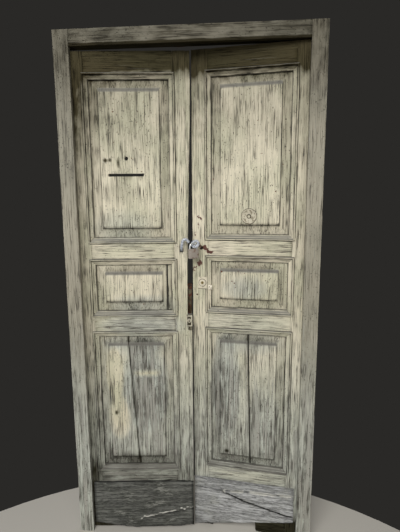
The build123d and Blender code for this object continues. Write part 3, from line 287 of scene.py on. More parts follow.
def grimy_pine(name, light, dark, mossy):
    """Rough bare board with dirt in its furrows."""
    material, tree, shader = new_material(name)
    bare, dirt_and_shade = (add_node(tree, CARRIED, {}, 2, attribute_name=mark) for mark in ("bare", "dirt_and_shade"))
    board = add_node(tree, CARRIED, {}, 1, attribute_name="board")
    noises = []
    for across, along, settings in FOOT_PATTERNS:
        place = add_node(tree, MAPPING, {0: board, 3: (1 / across, 1 / across, 1 / along)})
        noises.append(add_node(tree, NOISE, {"Vector": place, "Scale": 1.0, **settings}))
    fleck, split, cloud = noises
    level = 0.0
    for source, weight in ((fleck, 0.55), (split, 0.45)):
        level = add_node(tree, MATH, {0: source, 1: weight, 2: level}, operation="MULTIPLY_ADD")
    ridge = add_node(tree, RANGE, {0: level, 1: 0.38, 2: 0.62}, **SOFT)
    green = add_node(tree, RANGE, {0: cloud, 1: 0.45, 2: 0.65, 3: 0.0, 4: 0.5})
    remnant = add_node(tree, MATH, {0: fleck, 1: 0.5, 2: cloud}, operation="MULTIPLY_ADD")
    remnant = add_node(tree, RANGE, {0: remnant, 1: 0.84, 2: 0.92, 3: 0.0, 4: 0.45})
    torn = add_node(tree, RANGE, {0: bare, 1: 0.75, 2: 1.1, 3: 0.0, 4: 0.9})
    middle = add_node(tree, MATH, {0: split, 1: 0.5}, operation="SUBTRACT")
    middle = add_node(tree, MATH, {0: middle}, operation="ABSOLUTE")
    crack = add_node(tree, RANGE, {0: middle, 1: 0.0, 2: 0.014, 3: 0.6, 4: 0.0})
    # Grime darkens where the carried mark is high: dirt, and the painted shadow below the torn skin.
    grime_and_shade = add_node(tree, MATH, {0: dirt_and_shade, 1: 0.9}, operation="MULTIPLY", use_clamp=True)

    colour = linear(dark)
    for share, over, blend in (
        (ridge, linear(light), "MIX"),
        (green, linear(mossy), "MIX"),
        (remnant, linear("B5B5AE"), "MIX"),
        (torn, linear("D2D1CA"), "MIX"),
        (crack, linear("1B1A17"), "MIX"),
        (grime_and_shade, linear("2E2C26"), "MULTIPLY"),
    ):
        layer = {0: share, 6: colour, 7: over}
        colour = add_node(tree, MIX, layer, 2, data_type="RGBA", blend_type=blend)
    tree.links.new(colour, shader.inputs["Base Color"])
    shader.inputs["Roughness"].default_value = 0.9
    height = add_node(tree, MATH, {0: crack, 1: -0.8, 2: level}, operation="MULTIPLY_ADD")
    furrowed = {"Strength": 1.0, "Distance": FURROW_RELIEF, "Height": height}
    relief = add_node(tree, "ShaderNodeBump", furrowed)
    tree.links.new(relief, shader.inputs["Normal"])
    return material


GRIMY_PINE = {
    "left": grimy_pine("grimy_pine_left", "73746F", "2D2E2B", "3F423A"),
    "right": grimy_pine("grimy_pine_right", "C8C9CA", "656665", "8A8C88"),
}
print("boards at the foot have", len(GRIMY_PINE["left"].node_tree.nodes), "nodes")

# %% [markdown]
# The ironwork is wrought iron that has rusted: dark brown scale with lighter orange bloom. The lock's
# cylinder is brass gone dull, the shackle is plated steel, the padlock a dull nickel-plated case, and the
# plates by the lock have been painted over with the door. Each is one base colour under a cloud of another.

# %% Metals, painted iron and the chain's sleeve
GRIT_MM = 1.6
PITTING = 0.25 * MM


def aged_metal(name, base, bloom, metallic, roughness, cloud_mm, share):
    """A metal or its paint, with a second colour that has grown over a share of it in clouds this wide."""
    material, tree, shader = new_material(name)
    place = add_node(tree, "ShaderNodeTexCoord", {}, "Object")
    broad = add_node(tree, NOISE, {"Vector": place, "Scale": 1 / (cloud_mm * MM), "Detail": 5.0})
    grit = add_node(tree, NOISE, {"Vector": place, "Scale": 1 / (GRIT_MM * MM), "Detail": 2.0})
    cover = add_node(tree, MATH, {0: grit, 1: 0.25, 2: broad}, operation="MULTIPLY_ADD")
    cover = add_node(tree, RANGE, {0: cover, 1: 0.86 - share, 2: 0.98 - share}, **SOFT)
    colour = add_node(tree, MIX, {0: cover, 6: linear(base), 7: linear(bloom)}, 2, data_type="RGBA")
    tree.links.new(colour, shader.inputs["Base Color"])
    if metallic:
        shine = add_node(tree, RANGE, {0: cover, 1: 0.0, 2: 1.0, 3: metallic, 4: 0.0})
        tree.links.new(shine, shader.inputs["Metallic"])
    rough = add_node(tree, RANGE, {0: cover, 1: 0.0, 2: 1.0, 3: roughness, 4: min(1.0, roughness + 0.3)})
    tree.links.new(rough, shader.inputs["Roughness"])
    height = add_node(tree, MATH, {0: cover, 1: 0.6, 2: grit}, operation="MULTIPLY_ADD")
    relief = add_node(tree, "ShaderNodeBump", {"Strength": 0.5, "Distance": PITTING, "Height": height})
    tree.links.new(relief, shader.inputs["Normal"])
    return material


RUSTY_IRON = aged_metal("rusted_wrought_iron", "2E2622", "653F2B", 0.3, 0.62, 12, 0.35)
DULL_BRASS = aged_metal("dull_brass", "A8955F", "5F543C", 0.8, 0.42, 9, 0.25)
PLATED_STEEL = aged_metal("plated_steel", "E4E6E6", "A09A90", 0.7, 0.3, 7, 0.1)
NICKEL_CASE = aged_metal("dull_nickel_case", "9F968D", "7E6A5E", 0.15, 0.5, 18, 0.2)
PAINTED_IRON = aged_metal("paint_over_iron", "D3CBB6", "9A8F7B", 0.0, 0.6, 14, 0.16)
DINGY_IRON = aged_metal("dingy_paint_over_iron", "C6BFAB", "8E8673", 0.0, 0.65, 9, 0.26)
HAZE_MM = 7


def hazy_vinyl(name, clear, clouded, alpha):
    """Vinyl tube gone milky in the sun, through which the links show."""
    material, tree, shader = new_material(name)
    place = add_node(tree, "ShaderNodeTexCoord", {}, "Object")
    haze = add_node(tree, NOISE, {"Vector": place, "Scale": 1 / (HAZE_MM * MM), "Detail": 3.0})
    haze = add_node(tree, RANGE, {0: haze, 1: 0.38, 2: 0.62}, **SOFT)
    colour = add_node(tree, MIX, {0: haze, 6: linear(clear), 7: linear(clouded)}, 2, data_type="RGBA")
    tree.links.new(colour, shader.inputs["Base Color"])
    shader.inputs["Roughness"].default_value = 0.25
    shader.inputs["IOR"].default_value = 1.53
    shader.inputs["Alpha"].default_value = alpha
    return material


MILKY_SLEEVE = hazy_vinyl("milky_vinyl_sleeve", "A9B2C2", "DDE2EE", 0.6)
BROWNED_SLEEVE = hazy_vinyl("rust_browned_sleeve", "6A5148", "8C7468", 0.75)
print("metals and sleeve are ready")

# %% [markdown]
# A finished shape becomes a piece in one way: its mesh is smooth except where two faces meet sharply, it
# rides on the body that carries it, and the nodes of the measured model that it stands for are hidden. A copy
# of a node's mesh comes as loose triangles, so its doubles are merged and its flat triangles are joined
# before anything else is done to it.

# %% From a shape to a piece
MERGE = 0.01 * MM
STAY = Matrix.Identity(4)


def add_piece(name, shape, material, body, smooth=38, stands_for=()):
    """Make an object of a shape, let it ride on its body, and hide the nodes it stands for."""
    mesh = bpy.data.meshes.new(name)
    shape.to_mesh(mesh)
    shape.free()
    mesh.materials.clear()
    mesh.materials.append(material)
    mesh.shade_smooth()
    mesh.set_sharp_from_angle(angle=radians(smooth))
    piece = bpy.data.objects.new(name, mesh)
    bpy.context.collection.objects.link(piece)
    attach(piece, body)
    if stands_for:
        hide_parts(*stands_for)
    return piece


def merged_copy(node):
    """A node's mesh as a shape, its doubles merged and its flat triangles joined."""
    shape = bmesh.new()
    shape.from_mesh(nodes[node].data)
    bmesh.ops.remove_doubles(shape, verts=shape.verts, dist=MERGE)
    bmesh.ops.dissolve_limit(shape, angle_limit=radians(0.4), verts=shape.verts, edges=shape.edges)
    return shape


def sharp_edges(shape, degrees):
    """The edges where two faces meet at more than that angle."""
    return [e for e in shape.edges if len(e.link_faces) == 2 and e.calc_face_angle() > radians(degrees)]


# %% [markdown]
# Old boards aren't flat. Rain washes out the soft grain between the hard lines, the arrises get knocked,
# and the wood opens in long checks. Each board is sliced along and across, which gives it enough points to
# move, and then every point is pressed in along its normal: a little by a noise that is stretched along
# the grain, more on the arrises, and most in the checks. Only pressing in keeps a board inside its size.

# %% Slice a board and measure places on it
# The panel openings: their u, and their z from the lowest to the highest.
PANEL_U = (60.0, 456.0)
PANEL_Z = {
    "left": ((349.0, 1076.0), (1174.5, 1434.5), (1533.0, 2277.0)),
    "right": ((362.0, 1089.0), (1187.5, 1447.5), (1546.0, 2290.0)),
}


def slice_board(shape, matrix, axis, pitch, extra=()):
    """Slice a shape at an even pitch, and at extra places, square to one of its own directions."""
    inverse = matrix.inverted()
    places = [(inverse @ vert.co)[axis] for vert in shape.verts]
    low, high = min(places), max(places)
    count = max(1, round((high - low) / pitch))
    cuts = [low + (high - low) * step / count for step in range(1, count)]
    for place in cuts + [p for p in extra if low < p < high]:
        at = Vector((0, 0, 0))
        at[axis] = place
        bmesh.ops.bisect_plane(
            shape,
            geom=shape.verts[:] + shape.edges[:] + shape.faces[:],
            dist=MERGE,
            plane_co=matrix @ at,
            plane_no=matrix.col[axis].to_3d().normalized(),
        )


def beyond_opening(leaf, u, z):
    """How far a place lies outside the nearest panel opening, below 0 inside, and if that is sideways."""
    best = (1000.0, False)
    for low, high in PANEL_Z.get(leaf, ()):
        across = max(PANEL_U[0] - u, u - PANEL_U[1])
        upright = max(low - z, z - high)
        best = min(best, (max(across, upright), across > upright))
    return best


def fade(value, start, end):
    """A smooth share that is 0 at start and 1 at end."""
    share = min(1.0, max(0.0, (value - start) / (end - start)))
    return share * share * (3 - 2 * share)


print("the meeting stile starts", beyond_opening("left", 470, 1800)[0], "mm outside the opening")

# %% [markdown]
# The door isn't equally worn. The top is darkened with painted shade, the foot is washed bare, the hinge side
# of the left leaf is darker with dirt and painted shade, and the paint round the chain is stained with rust.
# Such marks could be painted on by hand. Here they are short lists that can be read and changed: gradients
# over a whole leaf, and soft spots, each with its place and its reach.

# %% Where the door is bare, dirty, rusty or darkened with painted shade
# Gradients of dirt and of painted shade: how much, and the u and z between which it grows, where it depends
# on them. The first three, which darken the top of each leaf, and the frame's gradient are painted shade;
# those that grow towards a leaf's hinge side are dirt and painted shade.
LEAF_SHADE_AND_DIRT = (
    (0.8, None, (2235, 2335)),
    (0.4, None, (1750, 2280)),
    (0.4, None, (2290, 2365)),
    (1.3, None, (140, 60)),
)
SHADE_AND_DIRT = {
    "frame": ((0.7, None, (1900, 2400)),),
    "left": (*LEAF_SHADE_AND_DIRT, (0.4, None, (470, 280)), (0.6, (110, 5), None), (0.15, (330, 60), (1700, 2200))),
    "right": (*LEAF_SHADE_AND_DIRT, (0.3, (80, 5), (900, 1500)), (0.25, (440, 530), (1700, 2300))),
}
# Soft spots: each has its u and z, its half width and half height, and how much it adds.
SPOTS = {
    ("left", "bare"): (
        (300, 800, 120, 260, 0.45), (250, 1020, 180, 55, 0.35), (146, 860, 46, 150, -0.55),
        (164, 630, 62, 130, -0.5), (307, 869, 76, 18, -0.75), (210, 1590, 160, 90, 0.25),
        (300, 1120, 230, 60, 0.4), (300, 1215, 180, 60, 0.35),
    ),
    ("right", "bare"): (
        (370, 800, 80, 300, 0.4), (250, 1035, 180, 60, 0.3), (180, 620, 90, 200, 0.1),
        (260, 320, 260, 50, -0.2), (280, 1300, 120, 60, 0.35), (280, 1136, 230, 60, 0.15),
    ),
    ("left", "dirt_and_shade"): (
        (262, 1392, 150, 28, 0.4), (262, 1030, 150, 32, 0.45), (142, 1908, 9, 12, 1.1),
        (163, 1909, 9, 11, 1.0), (202, 1896, 8, 28, 0.9), (146, 654, 11, 14, 1.1),
        (200, 1760, 90, 60, 0.25), (262, 400, 200, 50, 0.3),
    ),
    ("right", "dirt_and_shade"): (
        (262, 1404, 150, 28, 0.4), (262, 1044, 150, 32, 0.45), (362, 440, 13, 12, 0.9),
        (262, 420, 200, 50, 0.3),
    ),
    ("left", "rust"): ((520, 1500, 14, 24, 0.35),),
    ("right", "rust"): (
        (428, 1811, 9, 22, 0.5), (499, 1648, 13, 24, 0.52), (486, 1628, 10, 18, 0.5),
        (503, 1602, 12, 20, 0.52), (489, 1545, 14, 16, 0.5), (516, 1565, 12, 20, 0.5),
        (474, 1500, 22, 16, 0.58), (456, 1483, 24, 14, 0.58), (436, 1472, 24, 11, 0.55),
        (496, 1420, 22, 24, 0.58), (522, 1392, 15, 28, 0.55),
    ),
}
# The paint gets barer from the first of these heights down to the second, and the foot boards' lowest
# edge gets dirtier.
WASHED_Z = (1300, 330)
FOOT_DIRT_Z = (60, 20)
# Deeper than these a place is on a panel's back, on a leaf's edge, or behind the capital's disc.
PANEL_BACK = 16
EDGE_DEPTH = 3
CAPITAL_DISC = -13.2
EDGE_REACH = 22
STILE_RIM = 40
BARE_LIPPING_TOP = 1295
# How bare the paint is at the top, and how much barer at the foot.
OLD_BARE = 0.05
WASHED_BARE = 0.5
# How dark these are made: a panel's bevel, the meeting edge, the capital's hollows and its disc, and the foot
# boards' lowest edge. The meeting edge, which lies in the gap between the leaves, and the capital's hollows
# get dirt and painted shade; the rest get dirt. Then the marks of the bare lipping and of all that faces the
# room inside.
BEVEL_DIRT = 0.22
EDGE_DIRT_AND_SHADE = 1.2
HOLLOW_DIRT_AND_SHADE = 0.85
DISC_DIRT = 0.15
FOOT_DIRT = 0.35
LIPPING_MARKS = {"dirt_and_shade": 0.9, "rust": 0.42}
INSIDE_MARKS = {"bare": -0.2, "dirt_and_shade": 0.2, "rust": 0.0}


def door_marks(leaf, node, u, depth, z, rim):
    """How bare, dirty and rusty a place is, and how much painted shade darkens it."""
    marks = {"bare": OLD_BARE + WASHED_BARE * fade(z, *WASHED_Z), "dirt_and_shade": 0.0, "rust": 0.0}
    for amount, over_u, over_z in SHADE_AND_DIRT[leaf]:
        share_u = fade(u, *over_u) if over_u else 1.0
        share_z = fade(z, *over_z) if over_z else 1.0
        marks["dirt_and_shade"] += amount * share_u * share_z
    if FIELD_STEP + 0.5 < rim < LIP + 0.5:  # the bevel round a panel's field
        marks["dirt_and_shade"] += BEVEL_DIRT
    for mark in marks:
        for at_u, at_z, half_u, half_z, amount in SPOTS.get((leaf, mark), ()):
            distance = ((u - at_u) / half_u) ** 2 + ((z - at_z) / half_z) ** 2
            if distance < 1:
                marks[mark] += amount * (1 - distance) ** 0.6
    if leaf != "frame":
        if depth > (PANEL_BACK if "panel" in node else LEAF_T - 1):
            marks = dict(INSIDE_MARKS)
        # The meeting edge lies in the gap between the leaves and is darkened with dirt and painted shade.
        elif depth > EDGE_DEPTH and u > LEAF_W[leaf] - EDGE_REACH and rim > STILE_RIM:  # the meeting edge
            marks["dirt_and_shade"] += EDGE_DIRT_AND_SHADE
    if node == "left_edge_lipping" and depth > EDGE_DEPTH and z < BARE_LIPPING_TOP:
        marks.update(LIPPING_MARKS)
    # The capital's hollows behind its disc are darkened with dirt and painted shade.
    if node == "left_strip_capital":
        marks["dirt_and_shade"] = HOLLOW_DIRT_AND_SHADE if CAPITAL_DISC < depth < 0 else DISC_DIRT
    if "kickboard" in node:
        marks["dirt_and_shade"] = FOOT_DIRT * fade(z, *FOOT_DIRT_Z)
        marks["bare"] = 0.0
    return marks


print("spots on the door:", sum(len(spots) for spots in SPOTS.values()))

# %% [markdown]
# Some openings have a fixed place. The panels are glued up of narrow boards, so a joint that has parted is
# a long check with its own ends, and the open joints and the crack that the model already has get a dark
# edge. The boards at the foot have a torn skin on the left and a slanting split on the right, which are
# lines across the board. Small marks need more points, so a few bands of height are sliced more finely.

# %% Joints, cracks and torn lines
# Glue joints that have parted a little: each is its place across, its low and high end, and its depth.
JOINTS = {
    "left_upper_panel": ((196.0, 1592, 2218, 0.9), (330.0, 1592, 2218, 0.9)),
    "left_middle_panel": ((262.0, 1234, 1375, 1.6),),
    "right_middle_panel": ((264.0, 1247, 1388, 2.2),),
    "right_lower_panel": ((392.0, 430, 1060, 1.8), (150.0, 500, 1030, 1.4)),
    "left_lower_panel": ((330.0, 430, 1010, 1.4), (366.0, 560, 900, 1.2)),
}
# Openings right through a panel, by their two ends, each a u and a z.
OPEN_LINES = {
    "left_lower_panel": ((216.0, 1076.0), (262.0, 349.0)),
    "left_middle_panel": ((418.5, 1434.0), (418.5, 1175.0)),
    "right_lower_panel": ((259.0, 1089.0), (240.0, 362.0)),
}
# Lines across the boards at the foot, each a row of u and z on its leaf: the left board's torn skin, and
# the slanting split and the upper ledge of the right board's middle piece.
TORN_LINE = ((255, 62), (300, 74), (402, 96), (470, 112), (540, 128))
SPLIT_LOW = ((17, 127), (53, 129), (150, 151), (273, 180), (381, 219))
SPLIT_HIGH = ((17, 246), (109, 236), (232, 235), (381, 221))
# How far the split and the torn skin stray from their lines, and over what length.
SPLIT_STRAY = 4
SPLIT_WAVE = 23
TEAR_STRAY = 14
TEAR_WAVE = 17
# The bands below their lines in which pale torn wood lies, and the size of the patches that break it up,
# along and up the board. A band that starts below 0 starts above its line.
LEDGE_BAND = (-6, 9)
LEDGE_PATCH = (21, 14)
RIDGE_BAND = (-10, 2)
RIDGE_PATCH = (13, 11)
# How dark the split is and how it fades beside its line, and how deep the wood lies below the torn skin,
# with a dark band right under the ridge.
SPLIT_DIRT = 1.1
SPLIT_FADE = (8, 2)
TEAR_DEPTH = 3.0
SHADOW_BAND = (1, 14)
# Bands of height with small marks, and the pitch at which they are sliced. A check is cut by three slices,
# its bottom and its two sides, and runs out at its ends.
FINE_Z = {
    "right_meeting_stile": (1376, 1668),
    "right_upper_lock_rail": (1462, 1532),
    "left_upper_panel": (1868, 1928),
    "left_lower_panel": (636, 672),
    "right_lower_panel": (424, 458),
}
FINE_PITCH = 6
CHECK_BOTTOM = 0.3
CHECK_SIDE = 1.1
CHECK_END = 25


def board_check(checks, across, along):
    for place, low, high, deep in checks:
        if abs(across - place) < CHECK_BOTTOM and low < along < high:
            return deep * min(1.0, (along - low) / CHECK_END, (high - along) / CHECK_END)
    return 0.0


def beside_open_line(node, u, z):
    """How far a place lies beside the panel's open joint or crack."""
    if node not in OPEN_LINES:
        return 1000.0
    (high_u, high_z), (low_u, low_z) = OPEN_LINES[node]
    return abs(u - low_u - (high_u - low_u) * (z - low_z) / (high_z - low_z))


def below_line(line, u, z):
    """How far a place lies below a line across a board, less than 0 above it."""
    for (start_u, start_z), (end_u, end_z) in zip(line, line[1:]):
        if start_u <= u <= end_u:
            return start_z + (end_z - start_z) * (u - start_u) / (end_u - start_u) - z
    return -1000.0


def mark_split(marks, u, z):
    """Dirt in the right foot board's split, and pale torn wood along the ledge above it."""
    ragged = SPLIT_STRAY * noise.noise(Vector((u / SPLIT_WAVE, 0, 5)))
    marks["dirt_and_shade"] += SPLIT_DIRT * fade(abs(below_line(SPLIT_LOW, u, z) + ragged), *SPLIT_FADE)
    below = below_line(SPLIT_HIGH, u, z) + ragged
    patch = noise.noise(Vector((u / LEDGE_PATCH[0], z / LEDGE_PATCH[1], 1)))
    if LEDGE_BAND[0] < below < LEDGE_BAND[1] and patch > -0.25:
        marks["bare"], marks["dirt_and_shade"] = 1.1, 0.0


def mark_tear(marks, u, z):
    """Mark the ragged ridge of the left foot board's torn skin, and say how deep the wood lies there."""
    below = below_line(TORN_LINE, u, z) + TEAR_STRAY * noise.noise(Vector((u / TEAR_WAVE, 0, 7)))
    patch = noise.noise(Vector((u / RIDGE_PATCH[0], z / RIDGE_PATCH[1], 2)))
    if RIDGE_BAND[0] < below < RIDGE_BAND[1] and patch > -0.12:
        marks["bare"] += 1.3
    if SHADOW_BAND[0] < below < SHADOW_BAND[1]:
        marks["dirt_and_shade"] += 0.5
    return TEAR_DEPTH if below > 0 else 0.0


print("boards with parted joints:", len(JOINTS))

# %% [markdown]
# How a board wears depends on where it stands. The boards at the foot are furrowed and badly knocked, the
# panels keep their crisp fields, and the mouldings are small and wear least. So each kind gets its own
# depths, and its pitch of slices is as coarse as they allow. More checks are placed by a seeded random
# choice, so that they come out the same each time.

# %% Ways of wearing
# Each way of wearing is its pitch across and along the grain, its furrows' depth, its knocks' depth and
# how many checks it has, in millimetres.
PAINTED = (7.0, 28.0, 0.5, 3.2, 3)
FIELDED = (7.0, 28.0, 0.5, 0.5, 3)
SHAPED = (26.0, 26.0, 0.25, 1.6, 0)
FOOT = (6.0, 16.0, 1.5, 6.0, 7)
SHELTERED = (14.0, 60.0, 0.4, 2.0, 2)
# The size of each unevenness in millimetres, across and along the grain.
FURROW_SIZE = (9, 150)
CUP_SIZE = (90, 400)
KNOCK_SIZE = (17, 38)
# The noise is even about 0, and these shift it: furrows cover most of a board, and knocks less than half.
FURROW_SHIFT = 0.35
KNOCK_SHIFT = -0.05
CUP_DEPTH = 0.5
# Each board takes its own part of the noise, this far on from the board before.
NEXT_ACROSS = 311
NEXT_ALONG = 173
# The other checks are this long and this deep, and keep this far from the board's edges.
CHECK_LENGTH = (60, 260)
CHECK_DEPTH = (0.8, 2.0)
CHECK_ROOM = 6
# Only faces that lie further out than this are the left foot board's outer face.
FOOT_FACE = -10
ARRIS_DEGREES = 40
# Dirt in a check for each millimetre of its depth, beside an opening and how it fades there, on the foot
# boards' arrises, and painted shade under the head, where the normal's z is less than LOOKS_DOWN.
CHECK_DIRT = 0.55
OPEN_DIRT = 0.5
OPEN_FADE = (6, 2.5)
FOOT_ARRIS_DIRT = {"left": 0.9, "right": 0.35}
HEAD_UNDERSIDE_SHADE = 1.0
LOOKS_DOWN = -0.3


def wear_of(node):
    """Which way of wearing a wooden node has."""
    if node.startswith("frame"):
        return SHELTERED
    if "kickboard" in node:
        return FOOT
    if "panel" in node:
        return FIELDED
    return SHAPED if "moulding" in node or "strip" in node else PAINTED


def unevenness(place, size):
    """Soft noise at a place on a board."""
    across, along = size
    return noise.noise(Vector((place.x / across, place.y / across, place.z / along)))


def chosen_checks(order, across_span, along_span, count):
    """Checks at random places between the board's edges."""
    choice = Random(order)
    checks = []
    for _ in range(count):
        length = choice.uniform(*CHECK_LENGTH)
        start = choice.uniform(along_span[0], max(along_span[0], along_span[1] - length))
        place = choice.uniform(across_span[0] + CHECK_ROOM, across_span[1] - CHECK_ROOM)
        checks.append((place, start, start + length, choice.uniform(*CHECK_DEPTH)))
    return checks


print("the boards at the foot wear up to", FOOT[3], "mm deep at their arrises")

# %% [markdown]
# Each wooden node is now replaced by its worn copy. Stiles and panels have upright grain, rails and the
# boards at the foot have level grain, and a moulding's grain follows each of its four mitred lengths. Every
# point keeps the coordinates and the marks of its place, and then moves in.

# %% Make the worn boards


def worn_board(order, node, leaf):
    """Replace a wooden node by a worn copy that carries its grain and its marks."""
    across_pitch, along_pitch, furrow, knock, check_count = wear_of(node)
    level = "rail" in node or "kickboard" in node or node == "frame_head"
    matrix = TO_ROOM[leaf]
    inverse = matrix.inverted()
    axis_across, axis_along = (2, 0) if level else (0, 2)
    low, high = (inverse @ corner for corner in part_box(node))
    span = [sorted((low[axis], high[axis])) for axis in (axis_across, axis_along)]
    checks = [*JOINTS.get(node, ()), *chosen_checks(order, *span, check_count)]
    shape = merged_copy(node)
    sides = [check[0] + side for check in checks for side in (-CHECK_SIDE, 0.0, CHECK_SIDE)]
    fine = range(*FINE_Z[node], FINE_PITCH) if node in FINE_Z else ()
    slice_board(shape, matrix, axis_across, across_pitch, [*sides, *fine] if level else sides)
    slice_board(shape, matrix, axis_along, along_pitch, () if level else fine)
    shape.normal_update()
    layers = {name: shape.verts.layers.float.new(name) for name in MARKS}
    grain = shape.verts.layers.float_vector.new("board")
    arris = {vert for edge in sharp_edges(shape, ARRIS_DEGREES) for vert in edge.verts}
    moves = {}
    for vert in shape.verts:
        u, depth, z = inverse @ vert.co
        rim, sideways = beyond_opening(leaf, u, z)
        along_z = sideways if "moulding" in node else not level
        across, along = (u, z) if along_z else (z, u)
        place = Vector((across + NEXT_ACROSS * order, depth, along + NEXT_ALONG * order))
        marks = door_marks(leaf, node, u, depth, z, rim)
        # The head's underside is darkened as painted shade.
        if node == "frame_head" and vert.normal.z < LOOKS_DOWN:
            marks["dirt_and_shade"] += HEAD_UNDERSIDE_SHADE
        if "kickboard" in node and vert in arris:
            marks["dirt_and_shade"] += FOOT_ARRIS_DIRT[leaf]
        if node == "right_kickboard":
            mark_split(marks, u, z)
        pressed = furrow * max(0.0, FURROW_SHIFT + unevenness(place, FURROW_SIZE))
        pressed += CUP_DEPTH * max(0.0, unevenness(place, CUP_SIZE))
        if vert in arris:
            struck = max(0.0, KNOCK_SHIFT + unevenness(place, KNOCK_SIZE))
            pressed += knock * struck * (1.0 + marks["bare"])
        check = board_check(checks, across, along)
        pressed += check
        marks["dirt_and_shade"] += CHECK_DIRT * check + OPEN_DIRT * fade(beside_open_line(node, u, z), *OPEN_FADE)
        if node == "left_kickboard" and depth < FOOT_FACE:
            pressed += mark_tear(marks, u, z)
        for name, layer in layers.items():
            vert[layer] = rim if name == "rim" else marks[name]
        vert[grain] = place
        moves[vert] = vert.normal * pressed * MM
    for vert, move in moves.items():
        vert.co -= move
    finish, slot = (LEAF_PAINT, "painted_wood") if leaf != "frame" else (FRAME_PAINT, "frame_wood")
    if "kickboard" in node:
        finish, slot = GRIMY_PINE[leaf], "bare_board"
    return add_piece(f"worn_{node}", shape, finish, body_of[node], 34, (node,))


WOODEN = ("stile", "rail", "panel", "moulding", "kickboard", "lipping", "strip", "jamb", "frame_head")
wooden_nodes = [node for node in sorted(nodes) if any(word in node for word in WOODEN)]
facets = 0
for order, node in enumerate(wooden_nodes, start=1):
    leaf = node.split("_")[0]
    facets += len(worn_board(order, node, leaf).data.polygons)
print(len(wooden_nodes), "worn boards have", facets, "faces")

# %% [markdown]
# The metal fittings keep the model's forms, but real edges are never knife sharp: a tiny rounding catches a
# line of light, which is what makes a small part read as metal. A merged copy of each node gets its sharp
# edges bevelled by a fraction of a millimetre. Small flats keep theirs, because a bevel needs room.

# %% Fittings with eased edges
FITTINGS = {
    "right_lock_plate": (PAINTED_IRON, "painted_iron", 0.5),
    "right_rose": (DINGY_IRON, "painted_iron", 0.6),
    "right_lock_case": (PAINTED_IRON, "painted_iron", 1.2),
    "right_lock_cylinder": (PAINTED_IRON, "brass", 0.4),
    "right_lock_knob": (DULL_BRASS, "brass", 0.6),
    "right_lock_bolt": (RUSTY_IRON, "iron", 0.6),
    "left_lock_keep": (RUSTY_IRON, "iron", 0.6),
    "left_top_bolt": (RUSTY_IRON, "iron", 0.5),
    "left_bottom_bolt": (RUSTY_IRON, "iron", 0.5),
    "left_top_bolt_guide": (RUSTY_IRON, "iron", 0.6),
    "left_bottom_bolt_guide": (RUSTY_IRON, "iron", 0.6),
    "frame_bolt_keep": (RUSTY_IRON, "iron", 0.6),
    "padlock_body": (NICKEL_CASE, "padlock_metal", 0.5),
}
for node, (metal, slot, ease) in FITTINGS.items():
    shape = merged_copy(node)
    bmesh.ops.bevel(
        shape,
        geom=sharp_edges(shape, 30),
        offset=ease * MM,
        offset_type="OFFSET",
        affect="EDGES",
        segments=2,
        profile=0.5,
        material=-1,
        clamp_overlap=True,
    )
    piece = add_piece(f"eased_{node}", shape, metal, body_of[node], 38, (node,))
    print(node, "has", len(piece.data.polygons), "faces")


def give(node, material):
    """Put one material on a node that stays as it is."""
    mesh = nodes[node].data
    mesh.materials.clear()
    mesh.materials.append(material)


for node in nodes:
    if "hinge" in node and "stile" not in node:
        give(node, RUSTY_IRON)
give("right_lock_plug", DULL_BRASS)
give("padlock_plug", DULL_BRASS)

# %% [markdown]
# The chain is a light steel one in a clear vinyl tube, sold as a bicycle lock, and the sun has turned the
# tube milky. Its left end comes out of a hole in the left stile and curls up over the shackle; its right
# end is a ring on the shackle with a tail that runs into the right stile, browned by rust. A few points
# give each end's route, and a NURBS line through them is smooth, as a bent tube is. The same line without
# a thickness tells where the links go.

# %% Route of the two sleeved ends
# The chain's sizes, then its routes: the places in a stile are u, depth and z on the leaf, and the rest
# are millimetres from the right leaf's near edge.
SLEEVE_R = 6.9 * MM
LINK_R = 3.4 * MM
LINK_WIRE_R = 1.5 * MM
LINK_STRETCH = 2.6 * MM
LINK_PITCH = 9.2 * MM
LEFT_ROUTE = [TO_ROOM["left"] @ Vector(place) for place in ((490, 38, 1486), (490, -23, 1486))]
LEFT_ROUTE += [
    NEAR_EDGE + Vector(offset) * MM
    for offset in ((-44.3, -60.56, -5), (-36.3, -60.56, 8), (-22.3, -58.56, 9), (-13.8, -55.56, -6))
]
EYE_AT = NEAR_EDGE + Vector((16.2, -39.06, -15)) * MM
EYE_AXIS = Vector((0.269, 0.857, -0.439)).normalized()
EYE_R = 15 * MM
tail_side = NEAR_EDGE + Vector((30, -40.56, -9.8)) * MM - EYE_AT
tail_side = (tail_side - EYE_AXIS * tail_side.dot(EYE_AXIS)).normalized()
RIGHT_ROUTE = [TO_ROOM["right"] @ Vector(place) for place in ((489, 38, 1497), (489, -14, 1497))]
RIGHT_ROUTE.append(EYE_AT + tail_side * EYE_R)


def route_curve(name, points, thickness):
    """A smooth NURBS line through the route, round if it has a thickness."""
    curve = bpy.data.curves.new(name, "CURVE")
    curve.dimensions = "3D"
    spline = curve.splines.new("NURBS")
    spline.points.add(len(points) - 1)
    for point, place in zip(spline.points, points):
        point.co = (*place, 1)
    spline.order_u = 3
    spline.use_endpoint_u = True
    spline.resolution_u = 12
    curve.bevel_depth = thickness
    curve.bevel_resolution = 5
    curve.use_fill_caps = True
    return bpy.data.objects.new(name, curve)


def mesh_of(curve_object):
    """The mesh of a curve, after which the curve is removed."""
    bpy.context.collection.objects.link(curve_object)
    bpy.context.view_layer.update()
    evaluated = curve_object.evaluated_get(bpy.context.evaluated_depsgraph_get())
    mesh = bpy.data.meshes.new_from_object(evaluated)
    bpy.data.objects.remove(curve_object)
    return mesh


